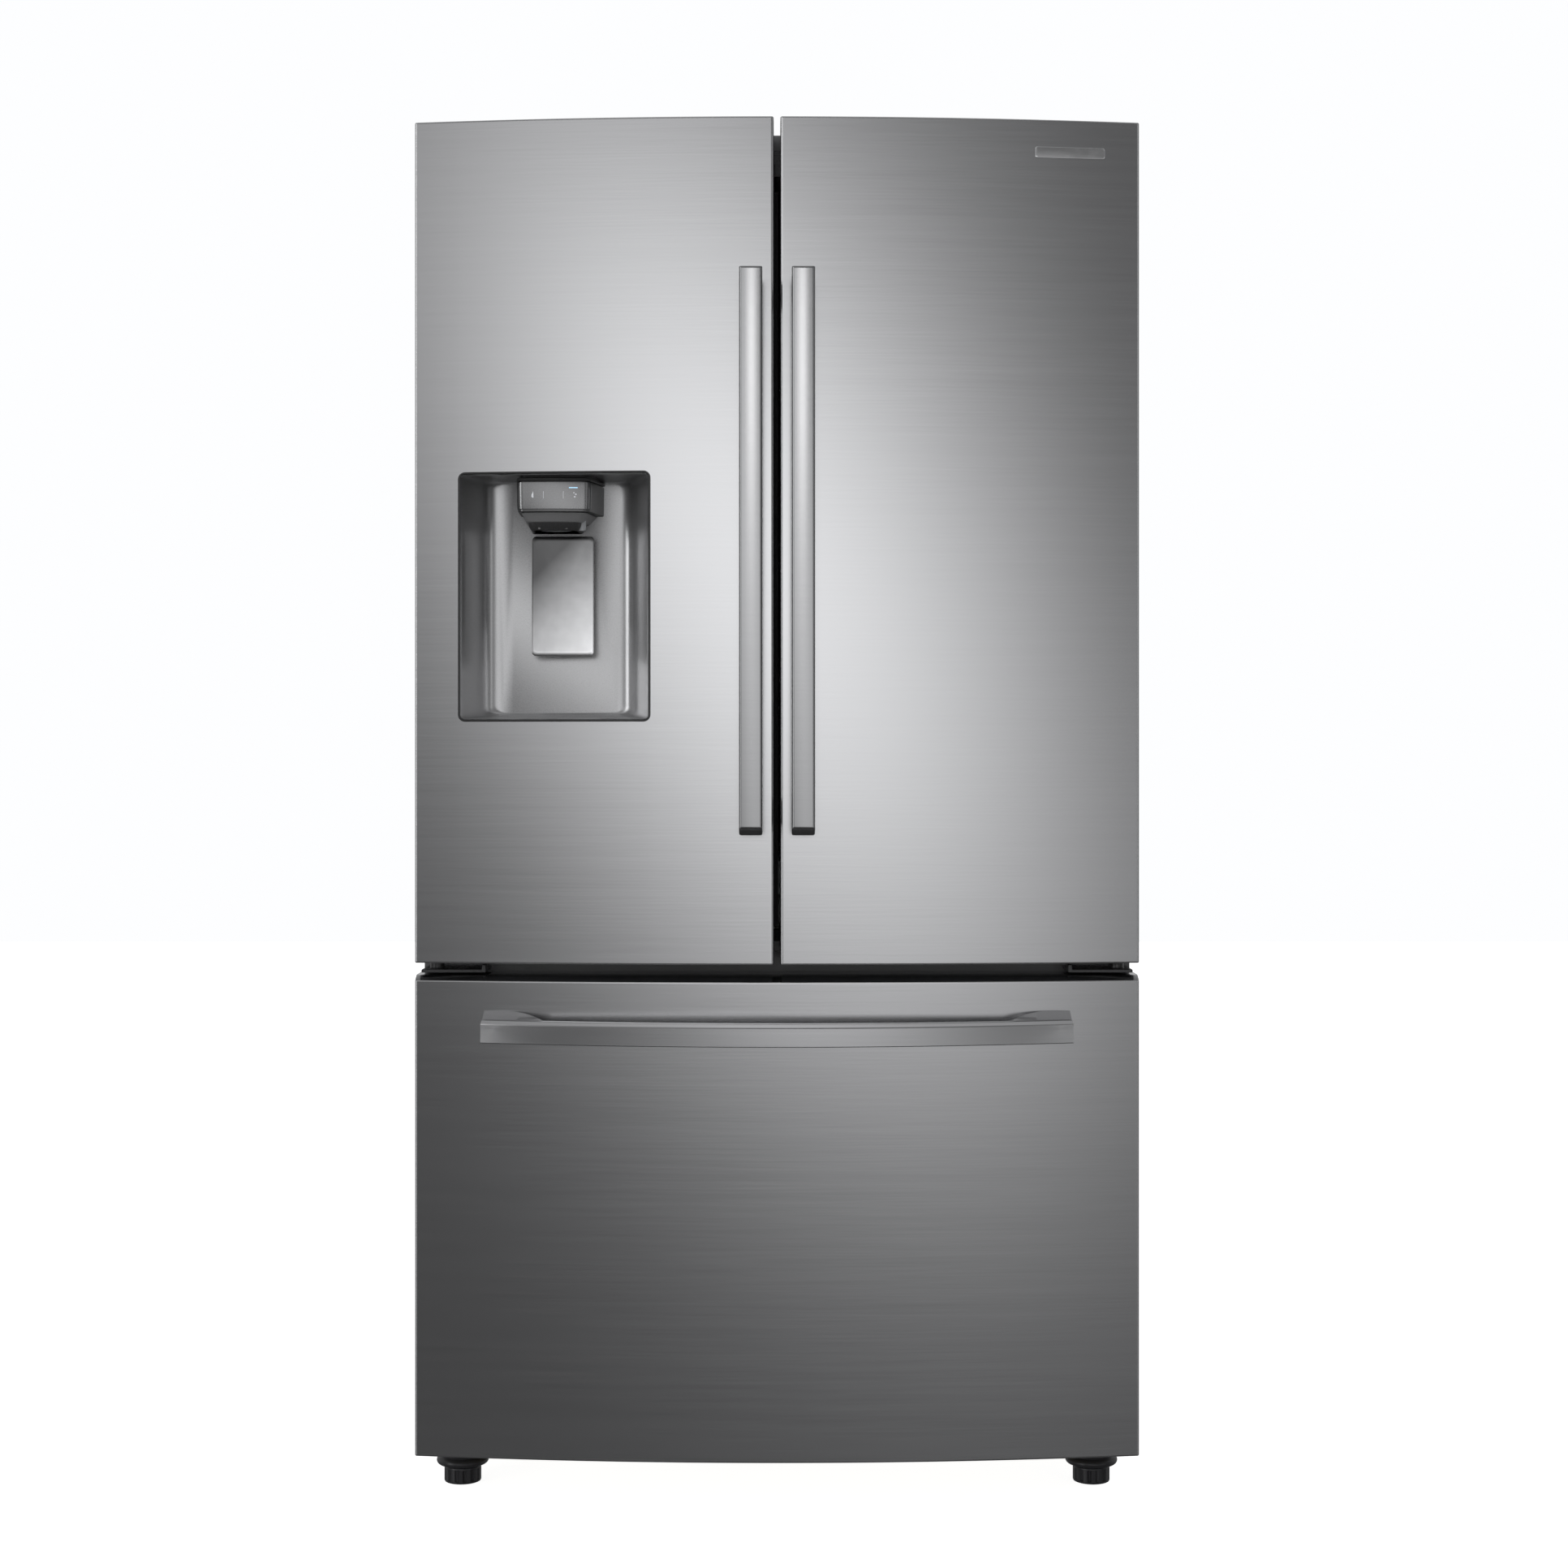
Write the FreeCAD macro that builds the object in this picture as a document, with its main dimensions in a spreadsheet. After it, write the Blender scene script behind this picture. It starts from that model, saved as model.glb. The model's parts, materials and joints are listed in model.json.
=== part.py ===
"""French door refrigerator with a freezer drawer below, built piece by piece in millimetres.

Axes: +X to the right of a person facing the doors, +Y to the back, +Z up; the origin is on the floor, midway.
"""
import os
import re

import FreeCAD
import Part
import Sketcher

DIMS = {
    # overall sizes
    "half_width": 454, "bulge": 32, "front_centre": 386, "door_back": 293, "gasket_back": 281.3,
    "flange_front": 281, "case_back": 445, "rear_limit": 449, "case_half": 452, "case_bottom": 60,
    "case_top": 1745, "door_bottom": 690, "door_top": 1743, "drawer_bottom": 72, "drawer_top": 674,
    "bevel_rise": 5.5, "bevel_run": 13, "gap_half": 4.1,
    # sheet, liner and foam
    "sheet": 1, "liner": 2, "edge_round": 3, "cap_thick": 8, "hem": 19, "rim_half": 432, "rail_low": 661,
    "rail_high": 699, "cavity_half": 405, "cavity_back": 383, "fridge_floor": 712, "fridge_ceiling": 1692,
    "freezer_floor": 104, "freezer_ceiling": 632, "step_front": 168, "step_top": 362,
    "machine_front": 205, "machine_roof": 330,
    # hinges
    "hinge_x": 430, "hinge_y": 320, "pin_radius": 5, "pin_play": 0.05, "boss_radius": 11, "boss_deep": 32,
    "plate_front": 345, "plate_low": 677, "plate_high": 681, "cover_inner": 348, "cover_outer": 448,
    "cover_front": 322, "cover_rear": 150, "cover_high": 1778,
    # gaskets and inner door panels
    "gasket_outer": 428, "gasket_width": 20, "gasket_free": 10, "plug_outer": 395, "plug_inner": 60,
    "dyke_wide": 30, "dyke_deep": 43, "bin_back": 190, "bin_front": 291, "bin_wall": 3,
    "flip_x": 45, "flip_y": 272, "flip_pin": 3,
    # handles
    "handle_x": 32.1, "handle_half": 14.2, "handle_low": 861, "handle_high": 1545, "handle_front": 449,
    "handle_deep": 18, "handle_drop": 9, "post_high": 32, "bow_half": 366, "bow_low": 595, "bow_high": 623,
    "bow_deep": 17, "bow_sag": 46, "bow_slope": 4.5,
    # dispenser
    "recess_left": -396, "recess_right": -160, "recess_low": 995, "recess_high": 1301,
    "recess_straight": 360, "recess_back": 289, "side_draft": 27, "floor_draft": 6, "bezel": 3,
    "bezel_deep": 4, "proud": 0.8, "housing_wall": 2.5, "swell_right": -170, "swell_margin": 12,
    "swell_back": 260, "pod_left": -326, "pod_right": -234, "pod_front": 358, "pod_low": 1255,
    "collar_high": 12, "throat_high": 10, "chute_wall": 3, "paddle_left": -311, "paddle_right": -232,
    "paddle_low": 1076, "paddle_high": 1228, "paddle_thick": 4, "paddle_lean": 7, "paddle_y": 303,
    "paddle_z": 1221, "paddle_pin": 2.5,
    # inside
    "shelf_front": 130, "drawer_front": 105, "tray_front": 235, "basket_front": 255, "tub_wall": 3,
    "shelf_rim": 9, "shelf_high": 14, "pane": 4, "ledge": 8, "tray_ledge": 582, "slide_low": 300,
    "slide_high": 344, "slide_front": 270,
    # underneath
    "leg_x": 412, "leg_y": 209, "leg_radius": 24, "leg_high": 21.6, "stem_radius": 6.9, "cup_radius": 34,
    "roller_y": 385, "roller_radius": 20, "axle_radius": 4, "base_half": 450, "base_wide": 25,
    "base_front": 165, "base_back": 440, "base_low": 30,
    # machine compartment
    "fan_y": 315, "fan_z": 108, "fan_pin": 3, "hub_radius": 16, "coil_front": 230, "coil_back": 400,
    "coil_top": 180, "can_x": 225, "can_y": 315,
}
FRONT_RADIUS = "((half_width^2 + bulge^2) / (2 * bulge))"
BOW_RADIUS = "((bow_half^2 + bow_sag^2) / (2 * bow_sag))"
SIDES = (("left", "-", -1), ("right", "", 1))
FAR = ("-600", "600")
V = FreeCAD.Vector

doc = FreeCAD.newDocument("refrigerator")
sheet = doc.addObject("Spreadsheet::Sheet", "Dims")
for row, (alias, number) in enumerate(DIMS.items(), 1):
    sheet.set(f"A{row}", alias)
    sheet.set(f"B{row}", str(number))
    sheet.setAlias(f"B{row}", alias)
doc.recompute()
nodes = []


# ---------------------------------------------------------------- helpers
def expand(text):
    """An expression with each bare size name pointed at its cell."""
    return re.sub(r"[a-z][a-z_]*", lambda m: f"Dims.{m[0]}" if m[0] in DIMS else m[0], str(text))


def bind(target, path, text):
    target.setExpression(path, expand(text))


def value(text):
    return float(sheet.evalExpression(expand(text)))


def box(name, x, y, z):
    """A box between low and high limits on each axis."""
    solid = doc.addObject("Part::Box", name)
    for (low, high), size, axis in ((x, "Length", "x"), (y, "Width", "y"), (z, "Height", "z")):
        bind(solid, size, f"({high}) - ({low})")
        bind(solid, f"Placement.Base.{axis}", low)
    return solid


def cylinder(name, along, centre, radius, low, high):
    """A cylinder along an axis; centre gives the other two coordinates in order."""
    solid = doc.addObject("Part::Cylinder", name)
    turn = {"x": (V(0, 1, 0), 90), "y": (V(1, 0, 0), -90), "z": (V(0, 0, 1), 0)}[along]
    solid.Placement = FreeCAD.Placement(V(), FreeCAD.Rotation(*turn))
    bind(solid, "Radius", radius)
    bind(solid, "Height", f"({high}) - ({low})")
    others = [axis for axis in "xyz" if axis != along]
    for axis, text in zip([along] + others, [low] + list(centre)):
        bind(solid, f"Placement.Base.{axis}", text)
    return solid


def cone(name, low_radius, high_radius, height, centre_y, z):
    """An upright truncated cone on the middle plane."""
    solid = doc.addObject("Part::Cone", name)
    bind(solid, "Radius1", low_radius)
    bind(solid, "Radius2", high_radius)
    bind(solid, "Height", height)
    bind(solid, "Placement.Base.y", centre_y)
    bind(solid, "Placement.Base.z", z)
    return solid


def wedge(name, y, front_x, back_x, front_z, back_z):
    """A tapered box that runs along Y from a front rectangle to a back rectangle."""
    solid = doc.addObject("Part::Wedge", name)
    limits = {"Ymin": y[0], "Ymax": y[1], "Xmin": front_x[0], "Xmax": front_x[1], "X2min": back_x[0]}
    limits.update({"X2max": back_x[1], "Zmin": front_z[0], "Zmax": front_z[1]})
    limits.update({"Z2min": back_z[0], "Z2max": back_z[1]})
    for prop, text in limits.items():
        bind(solid, prop, text)
    return solid


def cut(name, base, tool):
    result = doc.addObject("Part::Cut", name)
    result.Base, result.Tool = base, tool
    return result


def common(name, base, tool):
    result = doc.addObject("Part::Common", name)
    result.Base, result.Tool = base, tool
    return result


def fuse(name, pieces):
    result = doc.addObject("Part::MultiFuse", name)
    result.Shapes = pieces
    return result


def group(name, pieces):
    result = doc.addObject("Part::Compound", name)
    result.Links = pieces
    return result


def mirror(name, source):
    result = doc.addObject("Part::Mirroring", name)
    result.Source, result.Normal, result.Base = source, V(1, 0, 0), V()
    return result


def fillet(name, base, radius, pick):
    """Rounds the edges of base that pick accepts."""
    doc.recompute()
    size = value(radius)
    result = doc.addObject("Part::Fillet", name)
    result.Base = base
    result.Edges = [(i, size, size) for i, edge in enumerate(base.Shape.Edges, 1) if pick(edge)]
    return result


def runs_along(edge, axis):
    lengths = {"x": edge.BoundBox.XLength, "y": edge.BoundBox.YLength, "z": edge.BoundBox.ZLength}
    return lengths[axis] > 1 and all(size < 0.01 for key, size in lengths.items() if key != axis)


def front_upright(edge):
    """True for the upright edges at the front of a door or of the drawer."""
    return runs_along(edge, "z") and edge.BoundBox.YMax < -value("hinge_y") - 20


def profile(body, plane, points, offset):
    """A closed polygon sketch on an origin plane, each corner tied to its two expressions."""
    sketch = body.newObject("Sketcher::SketchObject", body.Name + "_sketch")
    sketch.AttachmentSupport = [(next(f for f in body.Origin.OriginFeatures if f.Role == plane), "")]
    sketch.MapMode = "FlatFace"
    bind(sketch, "AttachmentOffset.Base.z", offset)
    corners = [(value(a), value(b)) for a, b in points]
    for start, end in zip(corners, corners[1:] + corners[:1]):
        sketch.addGeometry(Part.LineSegment(V(*start, 0), V(*end, 0)), False)
    for i in range(len(corners)):
        sketch.addConstraint(Sketcher.Constraint("Coincident", i, 2, (i + 1) % len(corners), 1))
    for i, (texts, numbers) in enumerate(zip(points, corners)):
        for kind, text, number in zip(("DistanceX", "DistanceY"), texts, numbers):
            index = sketch.addConstraint(Sketcher.Constraint(kind, -1, 1, i, 1, number))
            bind(sketch, f"Constraints[{index}]", text)
    return sketch


def prism(name, along, points, low, high):
    """A body padded from a polygon: (y, z) points along x, (x, z) points along y, (x, y) points along z."""
    body = doc.addObject("PartDesign::Body", name)
    plane = {"x": "YZ_Plane", "y": "XZ_Plane", "z": "XY_Plane"}[along]
    pad_start = f"-({high})" if along == "y" else low
    sketch = profile(body, plane, points, pad_start)
    pad = body.newObject("PartDesign::Pad", name + "_pad")
    pad.Profile = sketch
    bind(pad, "Length", f"({high}) - ({low})")
    return body


def turned(name, points, x, y):
    """A body revolved about a vertical axis at (x, y) from (radius, z) points."""
    body = doc.addObject("PartDesign::Body", name)
    sketch = profile(body, "XZ_Plane", points, 0)
    revolution = body.newObject("PartDesign::Revolution", name + "_turn")
    revolution.Profile, revolution.ReferenceAxis, revolution.Angle = sketch, (sketch, ["V_Axis"]), 360
    bind(body, "Placement.Base.x", x)
    bind(body, "Placement.Base.y", y)
    return body


def drum(name, inset, low, high):
    """The vertical drum whose surface is the curved front of the doors, moved inwards by inset."""
    centre = ("0", f"{FRONT_RADIUS} - front_centre")
    return cylinder(name, "z", centre, f"{FRONT_RADIUS} - ({inset})", low, high)


def front_slab(name, inset, x, back, z):
    """A slab between two x limits with the curved front, moved inwards by inset."""
    block = box(name + "_block", x, ("-front_centre - 20", back), z)
    return common(name, block, drum(name + "_drum", inset, f"({z[0]}) - 1", f"({z[1]}) + 1"))


def side_span(side, near, far):
    """Limits in x for a span between two distances from the middle."""
    return (f"-({far})", f"-({near})") if side == "left" else (near, far)


def grow(span, amount):
    """A span with both limits moved outwards."""
    return (f"({span[0]}) - ({amount})", f"({span[1]}) + ({amount})")


def tub(name, x, y, z, wall="tub_wall"):
    """An open-topped tray of five flat walls."""
    inner_x, inner_y = grow(x, f"-{wall}"), grow(y, f"-{wall}")
    above = (f"({z[0]}) + {wall}", z[1])
    return group(name, [
        box(name + "_floor", x, y, (z[0], above[0])),
        box(name + "_front", x, (y[0], inner_y[0]), above),
        box(name + "_back", x, (inner_y[1], y[1]), above),
        box(name + "_left", (x[0], inner_x[0]), inner_y, above),
        box(name + "_right", (inner_x[1], x[1]), inner_y, above),
    ])


def ring(name, outer_x, outer_z, width, y):
    """A flat rectangular frame in the XZ plane."""
    outer = box(name + "_outer", outer_x, y, outer_z)
    return cut(name, outer, box(name + "_hole", grow(outer_x, f"-{width}"), FAR, grow(outer_z, f"-{width}")))


def bars(name, outer_x, outer_z, width, y):
    """The same frame as four straight bars that meet end to end."""
    inner_x, inner_z = grow(outer_x, f"-{width}"), grow(outer_z, f"-{width}")
    return [
        box(name + "_low", outer_x, y, (outer_z[0], inner_z[0])),
        box(name + "_high", outer_x, y, (inner_z[1], outer_z[1])),
        box(name + "_first", (outer_x[0], inner_x[0]), y, inner_z),
        box(name + "_last", (inner_x[1], outer_x[1]), y, inner_z),
    ]


def node(name, solid):
    """Marks a finished piece: its label is the name of its STEP file."""
    solid.Label = name
    nodes.append((name, solid))
    return solid


# ---------------------------------------------------------------- cabinet case
case_x, case_in_x = ("-case_half", "case_half"), ("-case_half + sheet", "case_half - sheet")
cavity_x, foam_x = ("-cavity_half", "cavity_half"), ("-cavity_half - liner", "cavity_half + liner")
flange_y = ("-flange_front", "-flange_front + sheet")
behind_flange = "-flange_front + sheet"
case_floor, case_roof = "case_bottom + sheet", "case_top - sheet"

wrap_out = box("wrap_out", case_x, ("-flange_front", "case_back"), ("case_bottom", "case_top"))
wrap_in = box("wrap_in", case_in_x, FAR, ("case_bottom - 1", case_roof))
hem = ring("wrap_hem", case_in_x, ("case_bottom - hem - 1", case_roof), "hem", flange_y)
hem_trim = box("hem_trim", case_x, ("-flange_front - 1", "0"), ("0", "case_bottom"))
wrap_pieces = [cut("wrap_shell", wrap_out, wrap_in), cut("wrap_hem_trim", hem, hem_trim)]
node("cabinet_wrapper", fuse("cabinet_wrapper", wrap_pieces))

foam_y = (behind_flange, "case_back")
foam_back = ("cavity_back + liner", "case_back")
foam_z = (case_floor, case_roof)
fridge_z = ("fridge_floor - liner", "fridge_ceiling + liner")
step_low = "step_top - liner"
freezer_underside = "freezer_floor - liner"
step_foam_y = ("step_front + liner", "machine_front")
node("cabinet_insulation", group("cabinet_insulation", [
    box("foam_left", (case_in_x[0], foam_x[0]), foam_y, foam_z),
    box("foam_right", (foam_x[1], case_in_x[1]), foam_y, foam_z),
    box("foam_top", foam_x, foam_y, (fridge_z[1], case_roof)),
    box("foam_divider", foam_x, foam_y, ("freezer_ceiling + liner", fridge_z[0])),
    box("foam_fridge_back", foam_x, foam_back, fridge_z),
    box("foam_freezer_back", foam_x, foam_back, (step_low, "freezer_ceiling + liner")),
    box("foam_step_roof", foam_x, ("step_front + liner", "case_back"), ("machine_roof", step_low)),
    box("foam_step_front", foam_x, step_foam_y, (freezer_underside, "machine_roof")),
    box("foam_floor", foam_x, (behind_flange, "machine_front"), (case_floor, freezer_underside)),
]))

rear_y = ("case_back", "case_back + sheet")
rear = [box("rear_sheet", case_x, rear_y, ("machine_roof", "case_top"))]
for side, sign, way in SIDES:
    rib_x = side_span(side, "120", "330")
    rib_z = ("machine_roof + 60", "case_top - 90")
    rear.append(box(f"rear_rib_{side}", rib_x, ("case_back + sheet", "rear_limit"), rib_z))
node("rear_panel", fuse("rear_panel", rear))

LEDGE_HEIGHTS = (820, 1004, 1196, 1406)
rim_x = ("-rim_half", "rim_half")
fridge_air_z = ("fridge_floor", "fridge_ceiling")
fridge_out = box("fridge_shell_out", foam_x, (behind_flange, "cavity_back + liner"), fridge_z)
fridge_air = box("fridge_air", cavity_x, ("-flange_front - 1", "cavity_back"), fridge_air_z)
fridge_rim_out = box("fridge_rim_out", rim_x, flange_y, ("rail_high", "case_top - hem - sheet"))
fridge_rim = cut("fridge_rim", fridge_rim_out, box("fridge_rim_hole", cavity_x, FAR, fridge_air_z))
ledges = []
for side, sign, way in SIDES:
    for height in LEDGE_HEIGHTS:
        ledge_x = side_span(side, "cavity_half - ledge", "cavity_half")
        ledge_z = (f"{height} - ledge", height)
        ledges.append(box(f"ledge_{side}_{height}", ledge_x, ("-shelf_front", "cavity_back"), ledge_z))
node("fridge_liner", fuse("fridge_liner", [cut("fridge_shell", fridge_out, fridge_air), fridge_rim] + ledges))

high_z, low_z = (step_low, "freezer_ceiling + liner"), (freezer_underside, "step_top")
freezer_out = fuse("freezer_out", [
    box("freezer_out_high", foam_x, (behind_flange, "cavity_back + liner"), high_z),
    box("freezer_out_low", foam_x, (behind_flange, "step_front + liner"), low_z),
])
freezer_air = fuse("freezer_air", [
    box("freezer_air_high", cavity_x, ("-flange_front - 1", "cavity_back"), ("step_top", "freezer_ceiling")),
    box("freezer_air_low", cavity_x, ("-flange_front - 1", "step_front"), ("freezer_floor", "step_top + 1")),
])
freezer_rim_out = box("freezer_rim_out", rim_x, flange_y, (case_floor, "rail_low"))
freezer_rim_hole = box("freezer_rim_hole", cavity_x, FAR, ("freezer_floor", "freezer_ceiling"))
freezer_rim = cut("freezer_rim", freezer_rim_out, freezer_rim_hole)
freezer_pieces = [cut("freezer_shell", freezer_out, freezer_air), freezer_rim]
for side, sign, way in SIDES:
    ledge_x = side_span(side, "cavity_half - 14", "cavity_half")
    ledge_z = ("tray_ledge - ledge", "tray_ledge")
    freezer_pieces.append(box(f"tray_ledge_{side}", ledge_x, ("-250", "cavity_back"), ledge_z))
node("freezer_liner", fuse("freezer_liner", freezer_pieces))
node("centre_rail", box("centre_rail", rim_x, flange_y, ("rail_low", "rail_high")))

# ---------------------------------------------------------------- base, legs and rollers
inner_base = "base_half - base_wide"
base_z = ("base_low", "case_bottom")
pan_z = ("base_low", "base_low + 3")
cross_x = (f"-({inner_base})", inner_base)
base_pieces = [
    box("cross_front", cross_x, ("-base_front", "-base_front + base_wide"), ("base_low + 10", "case_bottom")),
    box("cross_rear", cross_x, ("base_back - 29", "base_back"), base_z),
    box("machine_pan", ("-378", "378"), ("machine_front + 5", "base_back - 29"), pan_z),
]
axle_at = ("roller_y", "roller_radius")
ear_y = ("roller_y - 10", "roller_y + 10")
for side, sign, way in SIDES:
    rail_x = side_span(side, inner_base, "base_half")
    axle_x = side_span(side, "380", "420")
    base_pieces += [
        box(f"rail_{side}", rail_x, ("-base_front", "base_back"), base_z),
        box(f"ear_out_{side}", side_span(side, "413", "425"), ear_y, ("12", "case_bottom")),
        box(f"ear_in_{side}", side_span(side, "370", "388"), ear_y, ("12", "base_low + 3")),
        cylinder(f"axle_{side}", "x", axle_at, "axle_radius", *axle_x),
    ]
node("base_frame", fuse("base_frame", base_pieces))


def tyre_rim(edge):
    return edge.Curve.TypeId == "Part::GeomCircle" and edge.Curve.Radius > 15


for side, sign, way in SIDES:
    tyre_x = side_span(side, "390", "411")
    tyre = cylinder(f"{side}_tyre", "x", axle_at, "roller_radius", *tyre_x)
    bore = cylinder(f"{side}_tyre_bore", "x", axle_at, "axle_radius + pin_play", *grow(tyre_x, "1"))
    node(f"{side}_roller", fillet(f"{side}_roller", cut(f"{side}_wheel", tyre, bore), "2", tyre_rim))

cup_bore = "stem_radius + 0.1"
cup_points = [(cup_bore, "24"), ("cup_radius - 5", "22"), ("cup_radius", "26"), ("cup_radius", "31"),
              ("cup_radius - 5", "35"), ("cup_radius - 3", case_floor), (cup_bore, case_floor)]
leg_points = [("0", "0"), ("leg_radius - 1", "0"), ("leg_radius", "1"), ("leg_radius", "leg_high - 1.6"),
              ("leg_radius - 2", "leg_high"), ("stem_radius", "leg_high"), ("stem_radius", "56"), ("0", "56")]
FLUTES = 12
cups = [turned(f"{side}_cup", cup_points, f"{sign}leg_x", "-leg_y") for side, sign, way in SIDES]
node("leg_housings", group("leg_housings", cups))
for side, sign, way in SIDES:
    stem = turned(f"{side}_leg_stem", leg_points, f"{sign}leg_x", "-leg_y")
    flutes = []
    for k in range(FLUTES):
        flute = doc.addObject("Part::Box", f"{side}_flute_{k}")
        flute.Length, flute.Width, flute.Height = 4, 3, 14
        spin = FreeCAD.Rotation(V(0, 0, 1), 360 / FLUTES * k)
        start = V(value("leg_radius") - 1.6, -1.5, 4)
        flute.Placement = FreeCAD.Placement(spin.multVec(start), spin)
        flutes.append(flute)
    teeth = group(f"{side}_flutes", flutes)
    bind(teeth, "Placement.Base.x", f"{sign}leg_x")
    bind(teeth, "Placement.Base.y", "-leg_y")
    node(f"{side}_levelling_leg", cut(f"{side}_levelling_leg", stem, teeth))

# ---------------------------------------------------------------- machine compartment
louvres = [box(f"louvre_{k}", (-330 + 60 * k, -300 + 60 * k), FAR, ("110", "250")) for k in range(12)]
cover_sheet = box("cover_sheet", ("-440", "440"), rear_y, ("case_bottom", "machine_roof"))
gland = cylinder("power_gland", "y", ("390", "120"), "11", "case_back + sheet", "rear_limit")
cover_plate = cut("cover_plate", cover_sheet, group("louvres", louvres))
node("machine_cover", fuse("machine_cover", [cover_plate, gland]))

can_points = [("0", "base_low + 3"), ("58", "base_low + 3"), ("70", "48"), ("74", "95"), ("74", "110"),
              ("70", "150"), ("52", "186"), ("0", "194")]
node("compressor", turned("compressor", can_points, "can_x", "can_y"))

coil_y = ("coil_front", "coil_back")
fan_at = ("fan_y", "fan_z")
fins = [box(f"fin_{k}", (-370 + 10 * k, -369 + 10 * k), coil_y, ("40", "coil_top")) for k in range(22)]
rows = [(y, z) for y in (260, 315, 370) for z in (70, 110, 150)]
tubes = [cylinder(f"tube_{k}", "x", at, "4", "-376", "-152") for k, at in enumerate(rows)]
shroud_plate = box("shroud_plate", ("-153", "-150"), coil_y, ("base_low + 3", "coil_top + 5"))
shroud = cut("shroud", shroud_plate, cylinder("shroud_hole", "x", fan_at, "70", "-160", "-140"))
motor = fuse("motor", [
    box("motor_arm", ("-112", "-106"), ("fan_y - 9", "fan_y + 9"), ("base_low + 3", "fan_z + 10")),
    cylinder("motor_can", "x", fan_at, "18", "-112", "-90"),
    cylinder("motor_pin", "x", fan_at, "fan_pin", "-145", "-112"),
])
node("condenser", group("condenser", [fuse("condenser_block", fins + tubes), shroud, motor]))

BLADES = 5
fan_pieces = [cylinder("fan_hub_block", "x", fan_at, "hub_radius", "-147", "-113")]
pitched = FreeCAD.Placement(V(-131, -12, 10), FreeCAD.Rotation(V(0, 0, 1), 28))
for k in range(BLADES):
    blade = doc.addObject("Part::Box", f"blade_{k}")
    blade.Length, blade.Width, blade.Height = 2, 24, 54
    spin = FreeCAD.Rotation(V(1, 0, 0), 360 / BLADES * k + 25)
    blade.Placement = FreeCAD.Placement(V(0, value("fan_y"), value("fan_z")), spin) * pitched
    fan_pieces.append(blade)
fan_bore = cylinder("fan_bore", "x", fan_at, "fan_pin + pin_play", "-150", "-110")
node("condenser_fan", cut("condenser_fan", fuse("fan_solid", fan_pieces), fan_bore))
node("water_inlet", fuse("water_inlet", [
    box("valve_block", ("-402", "-362"), ("402", "case_back"), ("70", "115")),
    cylinder("valve_stub", "z", ("-382", "423"), "8", "115", "140"),
]))

# ---------------------------------------------------------------- inside the compartments
duct_y, duct_vent_y = ("cavity_back - 14", "cavity_back"), ("0", "cavity_back - 8")
VENTS = 8
vents = [box(f"vent_{k}", ("-110", "110"), duct_vent_y, (1080 + 70 * k, 1090 + 70 * k)) for k in range(VENTS)]
duct_sheet = box("duct_sheet", ("-150", "150"), duct_y, ("1040", "1660"))
duct = cut("duct_panel", duct_sheet, group("duct_vents", vents))
low_duct_y, low_vent_y = ("cavity_back - 20", "cavity_back"), ("0", "cavity_back - 14")
low_vents = []
for k in range(VENTS):
    low_vents.append(box(f"freezer_vent_{k}", (-340 + 90 * k, -290 + 90 * k), low_vent_y, ("520", "530")))
low_sheet = box("freezer_duct_sheet", ("-380", "380"), low_duct_y, ("370", "570"))
low_duct = cut("freezer_duct", low_sheet, group("freezer_vents", low_vents))
node("air_ducts", group("air_ducts", [duct, low_duct]))

maker_x, maker_y, maker_z = ("-404", "-190"), ("-120", "290"), ("1440", "1690")
maker_air = box("maker_air", grow(maker_x, "-4"), grow(maker_y, "-4"), grow(maker_z, "-4"))
maker_shell = cut("maker_shell", box("maker_box", maker_x, maker_y, maker_z), maker_air)
maker_outlet = box("maker_outlet", ("-310", "-250"), ("-130", "-110"), ("1450", "1510"))
node("ice_maker", cut("maker_gate", maker_shell, maker_outlet))

glass, rims = [], []


def shelf(name, x, y, z, rim_margin):
    """A pane in a raised rim; rim_margin is the pane's distance inside the rim on X and on each end of Y."""
    pane_x = grow(x, f"-({rim_margin[0]})")
    pane_y = (f"{y[0]} + {rim_margin[1]}", f"{y[1]} - ({rim_margin[2]})")
    glass.append(box(name + "_pane", pane_x, pane_y, (f"{z} + 5", f"{z} + 5 + pane")))
    rim_out = box(name + "_rim_out", x, y, (z, f"{z} + shelf_high"))
    rims.append(cut(name + "_rim", rim_out, box(name + "_rim_hole", pane_x, pane_y, (z - 1, z + 15))))


shelf_y = ("-shelf_front", "cavity_back - 25")
cover_y = ("-drawer_front - 3", "cavity_back - 2")
for side, heights in (("left", (1196,)), ("right", (1196, 1406))):
    for height in heights:
        shelf_x = side_span(side, "1", "cavity_half - 1")
        shelf(f"{side}_shelf_{height}", shelf_x, shelf_y, height, ("shelf_rim", "shelf_rim", "shelf_rim"))
full_x = ("-cavity_half + 1", "cavity_half - 1")
for height in (820, 1004):
    shelf(f"drawer_cover_{height}", full_x, cover_y, height, ("17", "17", "18"))
rims.append(box("crisper_divider", ("-3", "3"), ("-drawer_front + 5", "cavity_back - 20"), ("834", "1004")))
node("shelf_frames", group("shelf_frames", rims))
node("glass_shelves", group("glass_shelves", glass))

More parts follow.
